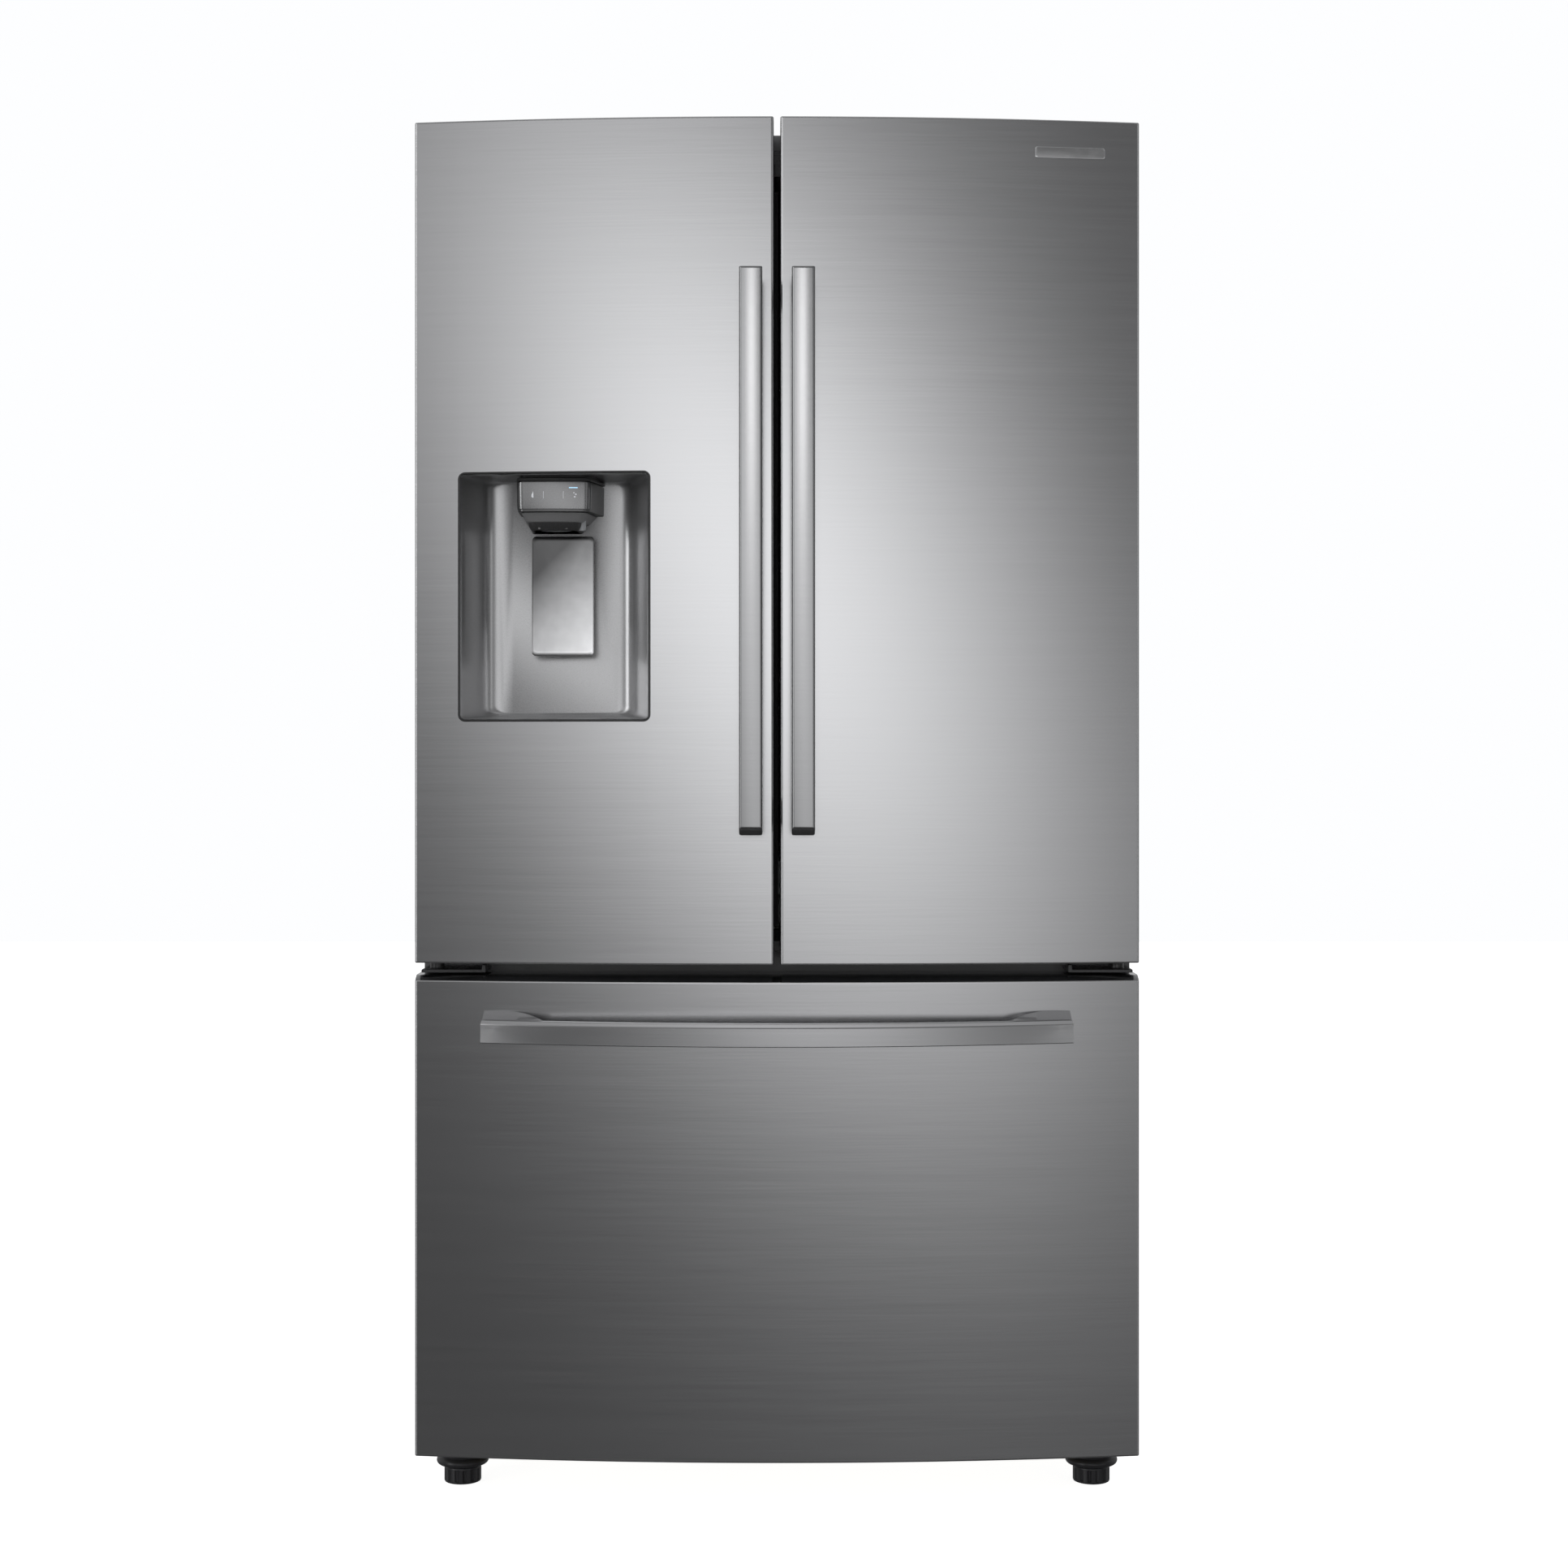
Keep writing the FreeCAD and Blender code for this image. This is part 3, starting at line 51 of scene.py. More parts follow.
# -------------------- facts read from the frame
SLOT_OF = {row["node"]: row["material_slot"] for row in frame["record"]["subparts"]}
BODY_OF = {node: body for body, nodes in frame["record"]["behaviour"]["bodies"].items() for node in nodes}
HALF_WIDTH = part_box("right_door_skin")[1].x
FRONT_CENTRE = -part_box("drawer_skin")[0].y
BULGE = 32 * MM
FRONT_RADIUS = (HALF_WIDTH ** 2 + BULGE ** 2) / (2 * BULGE)
DOOR_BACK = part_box("right_door_skin")[1].y
DOOR_LOW, DOOR_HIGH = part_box("right_door_skin")[0].z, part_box("right_door_skin")[1].z
DRAWER_LOW, DRAWER_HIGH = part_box("drawer_skin")[0].z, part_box("drawer_skin")[1].z
BEZEL_LOW, BEZEL_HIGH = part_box("dispenser_bezel")
BEZEL = 3 * MM
RECESS_X = (BEZEL_LOW.x + BEZEL, BEZEL_HIGH.x - BEZEL)
RECESS_Z = (BEZEL_LOW.z + BEZEL, BEZEL_HIGH.z - BEZEL)
PADDLE_LOW, PADDLE_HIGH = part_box("dispenser_paddle")
PADDLE_SLANT = (PADDLE_LOW.x - PADDLE_HIGH.z, PADDLE_HIGH.x - PADDLE_LOW.z)
FLANGE_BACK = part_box("centre_rail")[1].y
DOOR_SIDES = ("left", "right")


def front_y(x, inset=0.0):
    """The y of the curved front at x, moved inwards by inset."""
    return FRONT_RADIUS - FRONT_CENTRE - math.sqrt((FRONT_RADIUS - inset) ** 2 - x * x)


# -------------------- node-tree helpers
class Tree:
    """A material's node tree with short calls for the nodes used here."""

    def __init__(self, name):
        self.material = bpy.data.materials.new(name)
        self.material.use_nodes = True
        self.tree = self.material.node_tree
        self.shader = self.tree.nodes["Principled BSDF"]

    def node(self, kind, **values):
        node = self.tree.nodes.new(kind)
        for key, value in values.items():
            setattr(node, key, value)
        return node

    def link(self, output, target):
        self.tree.links.new(output, target)

    def set(self, **values):
        for key, value in values.items():
            self.shader.inputs[key.replace("_", " ")].default_value = value
        return self

    def noise(self, scale=1.0, detail=2.0, stretch=(1, 1, 1)):
        """Noise over the object's own coordinates, with a scale per axis."""
        place = self.node("ShaderNodeTexCoord")
        mapping = self.node("ShaderNodeMapping")
        mapping.inputs["Scale"].default_value = stretch
        self.link(place.outputs["Object"], mapping.inputs["Vector"])
        noise = self.node("ShaderNodeTexNoise")
        noise.inputs["Scale"].default_value = scale
        noise.inputs["Detail"].default_value = detail
        self.link(mapping.outputs["Vector"], noise.inputs["Vector"])
        return noise.outputs["Fac"]

    def voronoi(self, scale):
        place = self.node("ShaderNodeTexCoord")
        cells = self.node("ShaderNodeTexVoronoi")
        cells.inputs["Scale"].default_value = scale
        self.link(place.outputs["Object"], cells.inputs["Vector"])
        return cells.outputs["Color"]

    def between(self, factor, low, high, start=0.3, end=0.7):
        """factor from start to end mapped to a value from low to high."""
        span = self.node("ShaderNodeMapRange")
        for key, value in (("From Min", start), ("From Max", end), ("To Min", low), ("To Max", high)):
            span.inputs[key].default_value = value
        self.link(factor, span.inputs["Value"])
        return span.outputs["Result"]

    def shade(self, factor, dark, light, start=0.3, end=0.7):
        """factor mapped to a colour between two."""
        ramp = self.node("ShaderNodeValToRGB")
        ramp.color_ramp.elements[0].position, ramp.color_ramp.elements[1].position = start, end
        ramp.color_ramp.elements[0].color = (*dark, 1)
        ramp.color_ramp.elements[1].color = (*light, 1)
        self.link(factor, ramp.inputs["Fac"])
        self.link(ramp.outputs["Color"], self.shader.inputs["Base Color"])

    def rough(self, factor, low, high):
        self.link(self.between(factor, low, high), self.shader.inputs["Roughness"])

    def bump(self, factor, strength, distance):
        bump = self.node("ShaderNodeBump")
        bump.inputs["Strength"].default_value = strength
        bump.inputs["Distance"].default_value = distance
        self.link(factor, bump.inputs["Height"])
        self.link(bump.outputs["Normal"], self.shader.inputs["Normal"])


def grey(value, blue=1.0):
    return (value, value, value * blue)


def streak_scales(along, length, width):
    """Noise scales for streaks along one axis that do not change in depth."""
    scales = {"x": width, "y": 3.0, "z": width}
    scales[along] = length
    return scales["x"], scales["y"], scales["z"]


def brushed(name, tone, roughness, along, spread=0.05, across=0.34):
    """Brushed metal with fine streaks along one axis; its highlights spread across them."""
    tree = Tree(name).set(Metallic=1.0, Anisotropic=across)
    tangent = tree.node("ShaderNodeTangent", direction_type="RADIAL", axis="Z" if along == "z" else "X")
    tree.link(tangent.outputs["Tangent"], tree.shader.inputs["Tangent"])
    streaks = tree.noise(stretch=streak_scales(along, 8.0, 430.0))
    bands = tree.noise(stretch=streak_scales(along, 2.0, 90.0))
    mix = tree.node("ShaderNodeMath", operation="ADD")
    half = tree.node("ShaderNodeMath", operation="MULTIPLY")
    half.inputs[1].default_value = 0.5
    tree.link(streaks, mix.inputs[0])
    tree.link(bands, mix.inputs[1])
    tree.link(mix.outputs[0], half.inputs[0])
    tree.shade(half.outputs[0], grey(tone * (1 - spread), 1.012), grey(tone * (1 + spread), 1.012))
    tree.rough(half.outputs[0], roughness - 0.008, roughness + 0.008)
    tree.bump(streaks, 0.04, 0.0002)
    return tree.material


def liner_with_painted_flange_shade(name):
    """White moulded liner whose front flange is painted near-black: painted shade for the shade behind the
    doors.
    """
    tree = Tree(name)
    parts = tree.node("ShaderNodeSeparateXYZ")
    tree.link(tree.node("ShaderNodeTexCoord").outputs["Object"], parts.inputs[0])
    # Painted shade: faces in front of FLANGE_BACK, the flange in the shade behind the doors, are coloured
    # near-black.
    behind = tree.between(parts.outputs["Y"], 0.0, 1.0, FLANGE_BACK - 0.5 * MM, FLANGE_BACK + 1 * MM)
    tree.shade(behind, (0.02, 0.02, 0.022), (0.86, 0.87, 0.88), 0.1, 0.9)
    tree.rough(tree.noise(900.0, 3.0), 0.24, 0.32)
    return tree.material


def plate_with_painted_reflection(name):
    """The paddle's polished plate with a painted reflection: its colour darkens to the top left and brightens
    to the bottom right.
    """
    tree = Tree(name).set(Metallic=1.0)
    parts = tree.node("ShaderNodeSeparateXYZ")
    tree.link(tree.node("ShaderNodeTexCoord").outputs["Object"], parts.inputs[0])
    slant = tree.node("ShaderNodeMath", operation="SUBTRACT")
    tree.link(parts.outputs["X"], slant.inputs[0])
    tree.link(parts.outputs["Z"], slant.inputs[1])
    # Painted reflection and shade: the base colour runs from dark at the top left to bright at the bottom
    # right.
    share = tree.between(slant.outputs[0], 0.0, 1.0, PADDLE_SLANT[0], PADDLE_SLANT[1])
    tree.shade(share, grey(0.10, 1.01), grey(0.85, 1.01), 0.25, 1.0)
    tree.rough(tree.noise(60.0, 3.0), 0.2, 0.24)
    return tree.material


def moulded(name, colour, roughness, grain=1800.0, depth=0.12, **extra):
    """Moulded plastic with a fine grain."""
    tree = Tree(name).set(**extra)
    grit = tree.noise(grain, 3.0)
    cloud = tree.noise(9.0, 3.0)
    tree.shade(cloud, tuple(c * 0.94 for c in colour), tuple(min(1.0, c * 1.06) for c in colour))
    tree.rough(grit, roughness - 0.04, roughness + 0.04)
    tree.bump(grit, depth, 0.0004)
    return tree.material


def painted(name, tone, roughness, grain, depth):
    """Sheet steel with a lightly pebbled paint."""
    tree = Tree(name)
    pebble = tree.noise(grain, 2.0)
    cloud = tree.noise(5.0, 4.0)
    tree.shade(cloud, grey(tone * 0.95, 1.02), grey(tone * 1.05, 1.02))
    tree.rough(pebble, roughness - 0.05, roughness + 0.05)
    tree.bump(pebble, depth, 0.0006)
    tree.set(Coat_Weight=0.15, Coat_Roughness=0.3)
    return tree.material


def galvanised(name):
    """Zinc-coated sheet with a spangle."""
    tree = Tree(name).set(Metallic=1.0)
    spangle = tree.voronoi(70.0)
    tree.shade(spangle, grey(0.46, 1.02), grey(0.62, 1.02), 0.1, 0.9)
    tree.rough(tree.noise(60.0, 3.0), 0.34, 0.5)
    return tree.material


def foam(name):
    """Yellow rigid foam, open and matt."""
    tree = Tree(name)
    cells = tree.noise(260.0, 5.0)
    tree.shade(cells, (0.62, 0.52, 0.28), (0.80, 0.72, 0.45))
    tree.set(Roughness=0.95)
    tree.bump(cells, 0.4, 0.001)
    return tree.material


def clear(name, colour, roughness, ior):
    """Clear moulded plastic or glass with slight waviness."""
    tree = Tree(name).set(Transmission_Weight=0.92, IOR=ior, Specular_IOR_Level=0.5)
    wave = tree.noise(14.0, 2.0)
    tree.shade(wave, tuple(c * 0.97 for c in colour), colour)
    tree.rough(wave, roughness, roughness + 0.05)
    tree.bump(tree.noise(24.0, 2.0), 0.03, 0.001)
    return tree.material


def metallic_paint(name, tone, roughness, metallic=0.75):
    """Satin plastic with a metallic lacquer and fine flake."""
    tree = Tree(name).set(Metallic=metallic, Coat_Weight=0.25, Coat_Roughness=0.15)
    flake = tree.noise(2600.0, 2.0)
    tree.shade(flake, grey(tone * 0.88, 1.01), grey(tone * 1.12, 1.01))
    tree.rough(flake, roughness - 0.04, roughness + 0.04)
    tree.bump(flake, 0.03, 0.0002)
    return tree.material


def plated(name, tone, roughness):
    """Plain bright metal with faint smears."""
    tree = Tree(name).set(Metallic=1.0)
    smear = tree.noise(40.0, 4.0)
    tree.shade(smear, grey(tone * 0.94, 1.01), grey(tone * 1.04, 1.01))
    tree.rough(smear, roughness, roughness + 0.06)
    return tree.material


def lit(name, colour, strength):
    """A faint glow on a mark: painted light on the printed symbols, a lamp's light on the indicator."""
    tree = Tree(name)
    glow = tree.noise(400.0, 1.0)
    tree.shade(glow, tuple(c * 0.9 for c in colour), colour)
    tree.set(Emission_Color=(*colour, 1), Emission_Strength=strength, Roughness=0.4)
    return tree.material


MATERIALS = {
    "stainless": brushed("stainless", 0.60, 0.19, "x", 0.03),
    "handle_steel": brushed("handle_steel", 0.35, 0.20, "x", 0.03),
    "bow_steel": brushed("bow_steel", 0.62, 0.23, "x", 0.03),
    "case_paint": painted("case_paint", 0.20, 0.45, 500.0, 0.25),
    "galvanised": galvanised("galvanised"),
    "foam": foam("foam"),
    # the liners' front flanges carry painted shade
    "cabinet_liner": liner_with_painted_flange_shade("cabinet_liner"),
    "hinge_black": painted("hinge_black", 0.05, 0.3, 300.0, 0.05),
    "foot_plastic": moulded("foot_plastic", (0.04, 0.04, 0.044), 0.34, 1400.0, 0.1),
    "white_liner": moulded("white_liner", (0.86, 0.87, 0.88), 0.28, 900.0, 0.04),
    "black_paint": painted("black_paint", 0.015, 0.22, 300.0, 0.05),
    "fin_aluminium": plated("fin_aluminium", 0.70, 0.35),
    "satin_trim": moulded("satin_trim", (0.70, 0.72, 0.74), 0.32, 1500.0, 0.05),
    "shelf_glass": clear("shelf_glass", (0.86, 0.95, 0.91), 0.02, 1.5),
    "zinc_steel": plated("zinc_steel", 0.62, 0.24),
    "dark_plastic": moulded("dark_plastic", (0.018, 0.018, 0.02), 0.42, 1400.0, 0.15),
    "brass_fitting": plated("brass_fitting", 0.55, 0.28),
    "clear_plastic": clear("clear_plastic", (0.90, 0.94, 0.97), 0.06, 1.42),
    "seal": moulded("seal", (0.06, 0.06, 0.065), 0.62, 700.0, 0.2),
    "grey_cap": moulded("grey_cap", (0.16, 0.165, 0.17), 0.5, 1600.0, 0.2),
    "recess_satin": metallic_paint("recess_satin", 0.62, 0.30),
    "dark_trim": metallic_paint("dark_trim", 0.06, 0.3),
    "pod_dark": metallic_paint("pod_dark", 0.15, 0.30),
    "panel_satin": metallic_paint("panel_satin", 0.27, 0.26, 0.9),
    # the paddle's plate has a painted reflection in its colour
    "paddle_mirror": plate_with_painted_reflection("paddle_mirror"),
    "mullion_dark": moulded("mullion_dark", (0.02, 0.02, 0.022), 0.5, 1200.0, 0.1),
    "badge_metal": plated("badge_metal", 0.78, 0.2),
    # the printed symbols glow faintly: painted light
    "symbol_print": lit("symbol_print", (0.75, 0.77, 0.80), 0.45),
    "collar_grey": metallic_paint("collar_grey", 0.50, 0.34, 0.45),
    "indicator": lit("indicator", (0.45, 0.75, 1.0), 0.9),
}


# -------------------- mesh helpers
def piece(name, mesh, replaced, material=None, smooth=math.radians(32)):
    """A visual piece that stands for CAD nodes, rides on their body and takes their slot."""
    shape = bpy.data.objects.new(name, mesh)
    bpy.context.scene.collection.objects.link(shape)
    nodes = [replaced] if isinstance(replaced, str) else list(replaced)
    slot = SLOT_OF[nodes[0]]
    mesh.materials.clear()
    mesh.materials.append(MATERIALS[material or slot])
    mesh.shade_smooth()
    mesh.set_sharp_from_angle(angle=smooth)
    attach(shape, BODY_OF[nodes[0]])
    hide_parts(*nodes)
    return shape


def mesh_of(name, verts, faces, closed=True):
    """A mesh; only a closed one has its outside worked out, an open sheet keeps its own winding."""
    mesh = bpy.data.meshes.new(name)
    mesh.from_pydata(verts, [], faces)
    tidy = bmesh.new()
    tidy.from_mesh(mesh)
    bmesh.ops.remove_doubles(tidy, verts=tidy.verts, dist=1e-6)
    if closed:
        bmesh.ops.recalc_face_normals(tidy, faces=tidy.faces)
    tidy.to_mesh(mesh)
    tidy.free()
    return mesh


def thickened(mesh, thickness):
    """The open sheet with a thickness added behind it."""
    sheet = bpy.data.objects.new("sheet", mesh)
    bpy.context.scene.collection.objects.link(sheet)
    solid = sheet.modifiers.new("thickness", "SOLIDIFY")
    solid.thickness, solid.offset = thickness, -1.0
    evaluated = sheet.evaluated_get(bpy.context.evaluated_depsgraph_get())
    result = bpy.data.meshes.new_from_object(evaluated)
    bpy.data.objects.remove(sheet)
    return result


def loft_data(loops, ends=(True, True)):
    """Vertices and faces of a skin through closed loops of equal length."""
    count = len(loops[0])
    verts = [p for loop in loops for p in loop]
    faces = []
    for k in range(len(loops) - 1):
        for i in range(count):
            j = (i + 1) % count
            faces.append((k * count + i, k * count + j, (k + 1) * count + j, (k + 1) * count + i))
    if ends[0]:
        faces.append(tuple(range(count))[::-1])
    if ends[1]:
        faces.append(tuple(range((len(loops) - 1) * count, len(loops) * count)))
    return verts, faces


def loft(name, loops, ends=(True, True)):
    return mesh_of(name, *loft_data(loops, ends))


def joined(name, parts):
    """One mesh from several (verts, faces) pairs."""
    verts, faces = [], []
    for part_verts, part_faces in parts:
        base = len(verts)
        verts += part_verts
        faces += [tuple(base + i for i in face) for face in part_faces]
    return mesh_of(name, verts, faces)


def round_rect(centre, half, radius, steps=6):
    """Points of a rounded rectangle, anticlockwise in its own plane."""
    radius = min(radius, half[0] - 1e-5, half[1] - 1e-5)
    points = []
    for quarter, (sx, sy) in enumerate(((1, 1), (-1, 1), (-1, -1), (1, -1))):
        for k in range(steps + 1):
            angle = math.radians(90 * (quarter + k / steps))
            points.append((centre[0] + sx * (half[0] - radius) + radius * math.cos(angle),
                           centre[1] + sy * (half[1] - radius) + radius * math.sin(angle)))
    return points


def spread_rect(centre, half, radius, steps=8, spans=14):
    """A rounded rectangle with extra points along its top and bottom, to follow the curved door."""
    points = round_rect(centre, half, radius, steps)
    quarter = steps + 1

    def between(start, end):
        shares = [k / spans for k in range(1, spans)]
        return [(start[0] + (end[0] - start[0]) * k, start[1] + (end[1] - start[1]) * k) for k in shares]

    top = between(points[quarter - 1], points[quarter])
    bottom = between(points[3 * quarter - 1], points[3 * quarter])
    return points[:quarter] + top + points[quarter:3 * quarter] + bottom + points[3 * quarter:]


def end_rolls(radius):
    """(inset, step) pairs that roll an end over by a quarter circle."""
    angles = [math.radians(30 * k) for k in range(4)]
    return [(radius * (1 - math.sin(angle)), radius * (1 - math.cos(angle))) for angle in angles]


def rounded_block(low, high, radius, along, edge=1.0 * MM, steps=5):
    """(verts, faces) of a block with rounded corners along one axis and softened ends."""
    main = "xyz".index(along)
    axes = [i for i in range(3) if i != main]
    centre = [(low[i] + high[i]) / 2 for i in axes]
    half = [(high[i] - low[i]) / 2 for i in axes]
    loops = []
    for end, direction in ((low[main], 1), (high[main], -1)):
        rings = []
        for inset, step in end_rolls(edge):
            ring = round_rect(centre, [h - inset for h in half], max(radius - inset, 0.1 * MM), steps)
            rings.append([place(axes, main, p, end + direction * step) for p in ring])
        loops += rings if direction == 1 else rings[::-1]
    return loft_data(loops)


def place(axes, main, point, height):
    """A point of a flat outline put at a height along the main axis."""
    out = [0.0, 0.0, 0.0]
    out[axes[0]], out[axes[1]], out[main] = point[0], point[1], height
    return tuple(out)


def refined(node, width=0.6 * MM, segments=2, material=None):
    """A CAD node's mesh with its flat faces joined and its sharp edges softened."""
    mesh = frame["nodes"][node].data.copy()
    work = bmesh.new()
    work.from_mesh(mesh)
    bmesh.ops.remove_doubles(work, verts=work.verts, dist=2e-6)
    bmesh.ops.dissolve_limit(work, angle_limit=math.radians(0.8), verts=work.verts, edges=work.edges)
    work.to_mesh(mesh)
    work.free()
    mesh.name = node + "_look"
    shape = piece(node + "_look", mesh, node, material)
    bevel = shape.modifiers.new("soft_edges", "BEVEL")
    bevel.width, bevel.segments, bevel.limit_method = width, segments, "ANGLE"
    bevel.angle_limit = math.radians(40)
    bevel.use_clamp_overlap = True
    return shape


# -------------------- doors and drawer
ROUND = 3.2 * MM
CORNER_STEPS = 7
SHEET = 1 * MM


def corner_points(x, radius, front_inset, first):
    """The rounded front corner whose side is next to x, from an angle in degrees onwards."""
    middle = front_y(x, front_inset) + radius
    angles = [math.radians(first + 15 * k) for k in range(CORNER_STEPS)]
    return [(x + radius * math.cos(angle), middle + radius * math.sin(angle)) for angle in angles]


def outline(x_low, x_high, side_inset, front_inset, columns):
    """Plan view points of a front from its back-left to its back-right."""
    left, right = x_low + side_inset, x_high - side_inset
    radius = max(ROUND - min(side_inset, front_inset), 0.4 * MM)
    shoulder = max(DOOR_BACK - 20 * MM, front_y(left + radius, front_inset) + radius)
    points = [(left, DOOR_BACK), (left, shoulder)]
    points += corner_points(left + radius, radius, front_inset, 180)
    points += [(x, front_y(x, front_inset)) for x in columns]
    points += corner_points(right - radius, radius, front_inset, 270)
    points += [(right, shoulder), (right, DOOR_BACK)]
    return [(x, min(y, DOOR_BACK)) for x, y in points]


def front_skin(name, node, x_span, rows, hole=None):
    """A bent sheet front: rows are (z, side inset, front inset) from bottom to top."""
    x_low, x_high = x_span
    column_gap, clear_of_hole, near = 16 * MM, 6 * MM, 3 * MM
    count = max(12, round((x_high - x_low) / column_gap))
    margin = ROUND + 1 * MM
    columns = [x_low + margin + (x_high - x_low - 2 * margin) * k / count for k in range(count + 1)]
    if hole:
        (hole_left, hole_right), (hole_low, hole_high) = hole
        columns = [x for x in columns if min(abs(x - hole_left), abs(x - hole_right)) > clear_of_hole]
        columns = sorted(columns + [hole_left - near, hole_left, hole_right, hole_right + near])
        rows = sorted(rows + [(z, 0, 0) for z in (hole_low - near, hole_low, hole_high, hole_high + near)])
    verts, faces = [], []
    for z, side_inset, front_inset in rows:
        verts += [(x, y, z) for x, y in outline(x_low, x_high, side_inset, front_inset, columns)]
    before = CORNER_STEPS + 1
    width = len(columns) + 2 * (before + 1)
    for k in range(len(rows) - 1):
        for i in range(width - 1):
            corner = [k * width + i, k * width + i + 1, (k + 1) * width + i + 1, (k + 1) * width + i]
            if hole and before < i < width - before - 1:
                middle = sum(verts[c][0] for c in corner) / 4
                in_height = hole_low <= rows[k][0] and rows[k + 1][0] <= hole_high
                if in_height and hole_left < middle < hole_right:
                    continue
            faces.append(tuple(corner))
    piece(name, thickened(mesh_of(name, verts, faces, closed=False), SHEET), node)


def edge_rows(z, direction, radius=1.6 * MM):
    """Rows that roll a sheet inwards at a top or bottom edge."""
    rows = []
    for k in range(5):
        angle = math.radians(22.5 * k)
        inset = radius * (1 - math.sin(angle))
        rows.append((z + direction * radius * (1 - math.cos(angle)), inset, inset))
    return rows + [(z + direction * step * MM, 0, 0) for step in (2.2, 4.5)]


def door_skins():
    """Both door fronts, the left one with the dispenser's opening."""
    bands, grow = 12, 0.3 * MM
    lower, upper = edge_rows(DOOR_LOW, 1), edge_rows(DOOR_HIGH, -1)[::-1]
    middle = [(DOOR_LOW + (DOOR_HIGH - DOOR_LOW) * k / bands, 0, 0) for k in range(1, bands)]
    opening = ((RECESS_X[0] - grow, RECESS_X[1] + grow), (RECESS_Z[0] - grow, RECESS_Z[1] + grow))
    for side, hole in (("left", opening), ("right", None)):
        low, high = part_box(f"{side}_door_skin")
        front_skin(f"{side}_door_front", f"{side}_door_skin", (low.x, high.x), lower + middle + upper, hole)


def drawer_skin():
    """The drawer's front, rolled at its bottom and with a sloping lip along its top."""
    lip_rise, lip_run, deep, fold, bands = 5.5 * MM, 13 * MM, 88 * MM, 1.2 * MM, 8
    lip = DRAWER_HIGH - lip_rise
    rows = [(DRAWER_LOW, 0, deep)] + edge_rows(DRAWER_LOW, 1)
    rows += [(DRAWER_LOW + (lip - DRAWER_LOW) * k / bands, 0, 0) for k in range(1, bands)]
    rows += [(lip - 4.5 * MM, 0, 0), (lip - 2.2 * MM, 0, 0)]
    for k in range(5):
        angle = math.radians(16 * k)
        rows.append((lip - fold + fold * math.sin(angle), 0, fold * (1 - math.cos(angle))))
    rows += [(lip + 0.8 * MM, 0, 2.4 * MM), (DRAWER_HIGH - 0.5 * MM, 0, lip_run - fold)]
    rows += [(DRAWER_HIGH, 0, lip_run + 1 * MM), (DRAWER_HIGH, 0, deep)]
    front_skin("drawer_front", "drawer_skin", (-HALF_WIDTH, HALF_WIDTH), rows)


BAR_DEPTH, BAR_DROP = 18 * MM, 9 * MM
BAR_ROLL, BAR_CORNER, BAR_HOLD = 1.3 * MM, 3 * MM, 3 * MM
POST_NEAR, POST_FAR = 2 * MM, 34 * MM


def bar_loops(low, high):
    """Cross sections of an upright bar whose lower end is cut at a slant, lowest at the back."""
    centre, half = (low.x + high.x) / 2, (high.x - low.x) / 2
    middle, back = low.y + BAR_DEPTH / 2, low.y + BAR_DEPTH
    loops = []
    for end, direction, slant in ((low.z, 1, BAR_DROP / BAR_DEPTH), (high.z, -1, 0.0)):
        rings = []
        for inset, step in end_rolls(BAR_ROLL) + [(0.0, BAR_HOLD)]:
            ring = round_rect((centre, middle), (half - inset, BAR_DEPTH / 2 - inset), BAR_CORNER - inset)
            rings.append([(x, y, end + direction * step + slant * (back - y)) for x, y in ring])
        loops += rings if direction == 1 else rings[::-1]
    return loops


def post_loops(centre, half, z_low, z_high, start):
    """Cross sections of a handle's post from the bar to the door, with a wider foot on the door."""
    middle, reach = (centre, (z_low + z_high) / 2), (z_high - z_low) / 2
    shaft = round_rect(middle, (half - 1.6 * MM, reach), 4 * MM, 5)
    foot = round_rect(middle, (half - 0.6 * MM, reach + 1 * MM), 5 * MM, 5)
    loops = [[(x, start, z) for x, z in shaft]]
    for ring, depth in ((shaft, -2.2 * MM), (foot, -0.6 * MM), (foot, 0.2 * MM)):
        loops.append([(x, front_y(x) + depth, z) for x, z in ring])
    return loops


def door_handles():
    """The two upright bars, each on two posts."""
    for side in DOOR_SIDES:
        low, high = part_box(f"{side}_door_handle")
        centre, half = (low.x + high.x) / 2, (high.x - low.x) / 2
        parts = [loft_data(bar_loops(low, high))]
        bar_end = low.z + BAR_DROP
        start = low.y + BAR_DEPTH - 1 * MM
        posts = ((bar_end + POST_NEAR, bar_end + POST_FAR), (high.z - POST_FAR, high.z - POST_NEAR))
        for z_low, z_high in posts:
            parts.append(loft_data(post_loops(centre, half, z_low, z_high, start)))
        piece(f"{side}_bar_handle", joined(f"{side}_bar_handle", parts), f"{side}_door_handle")


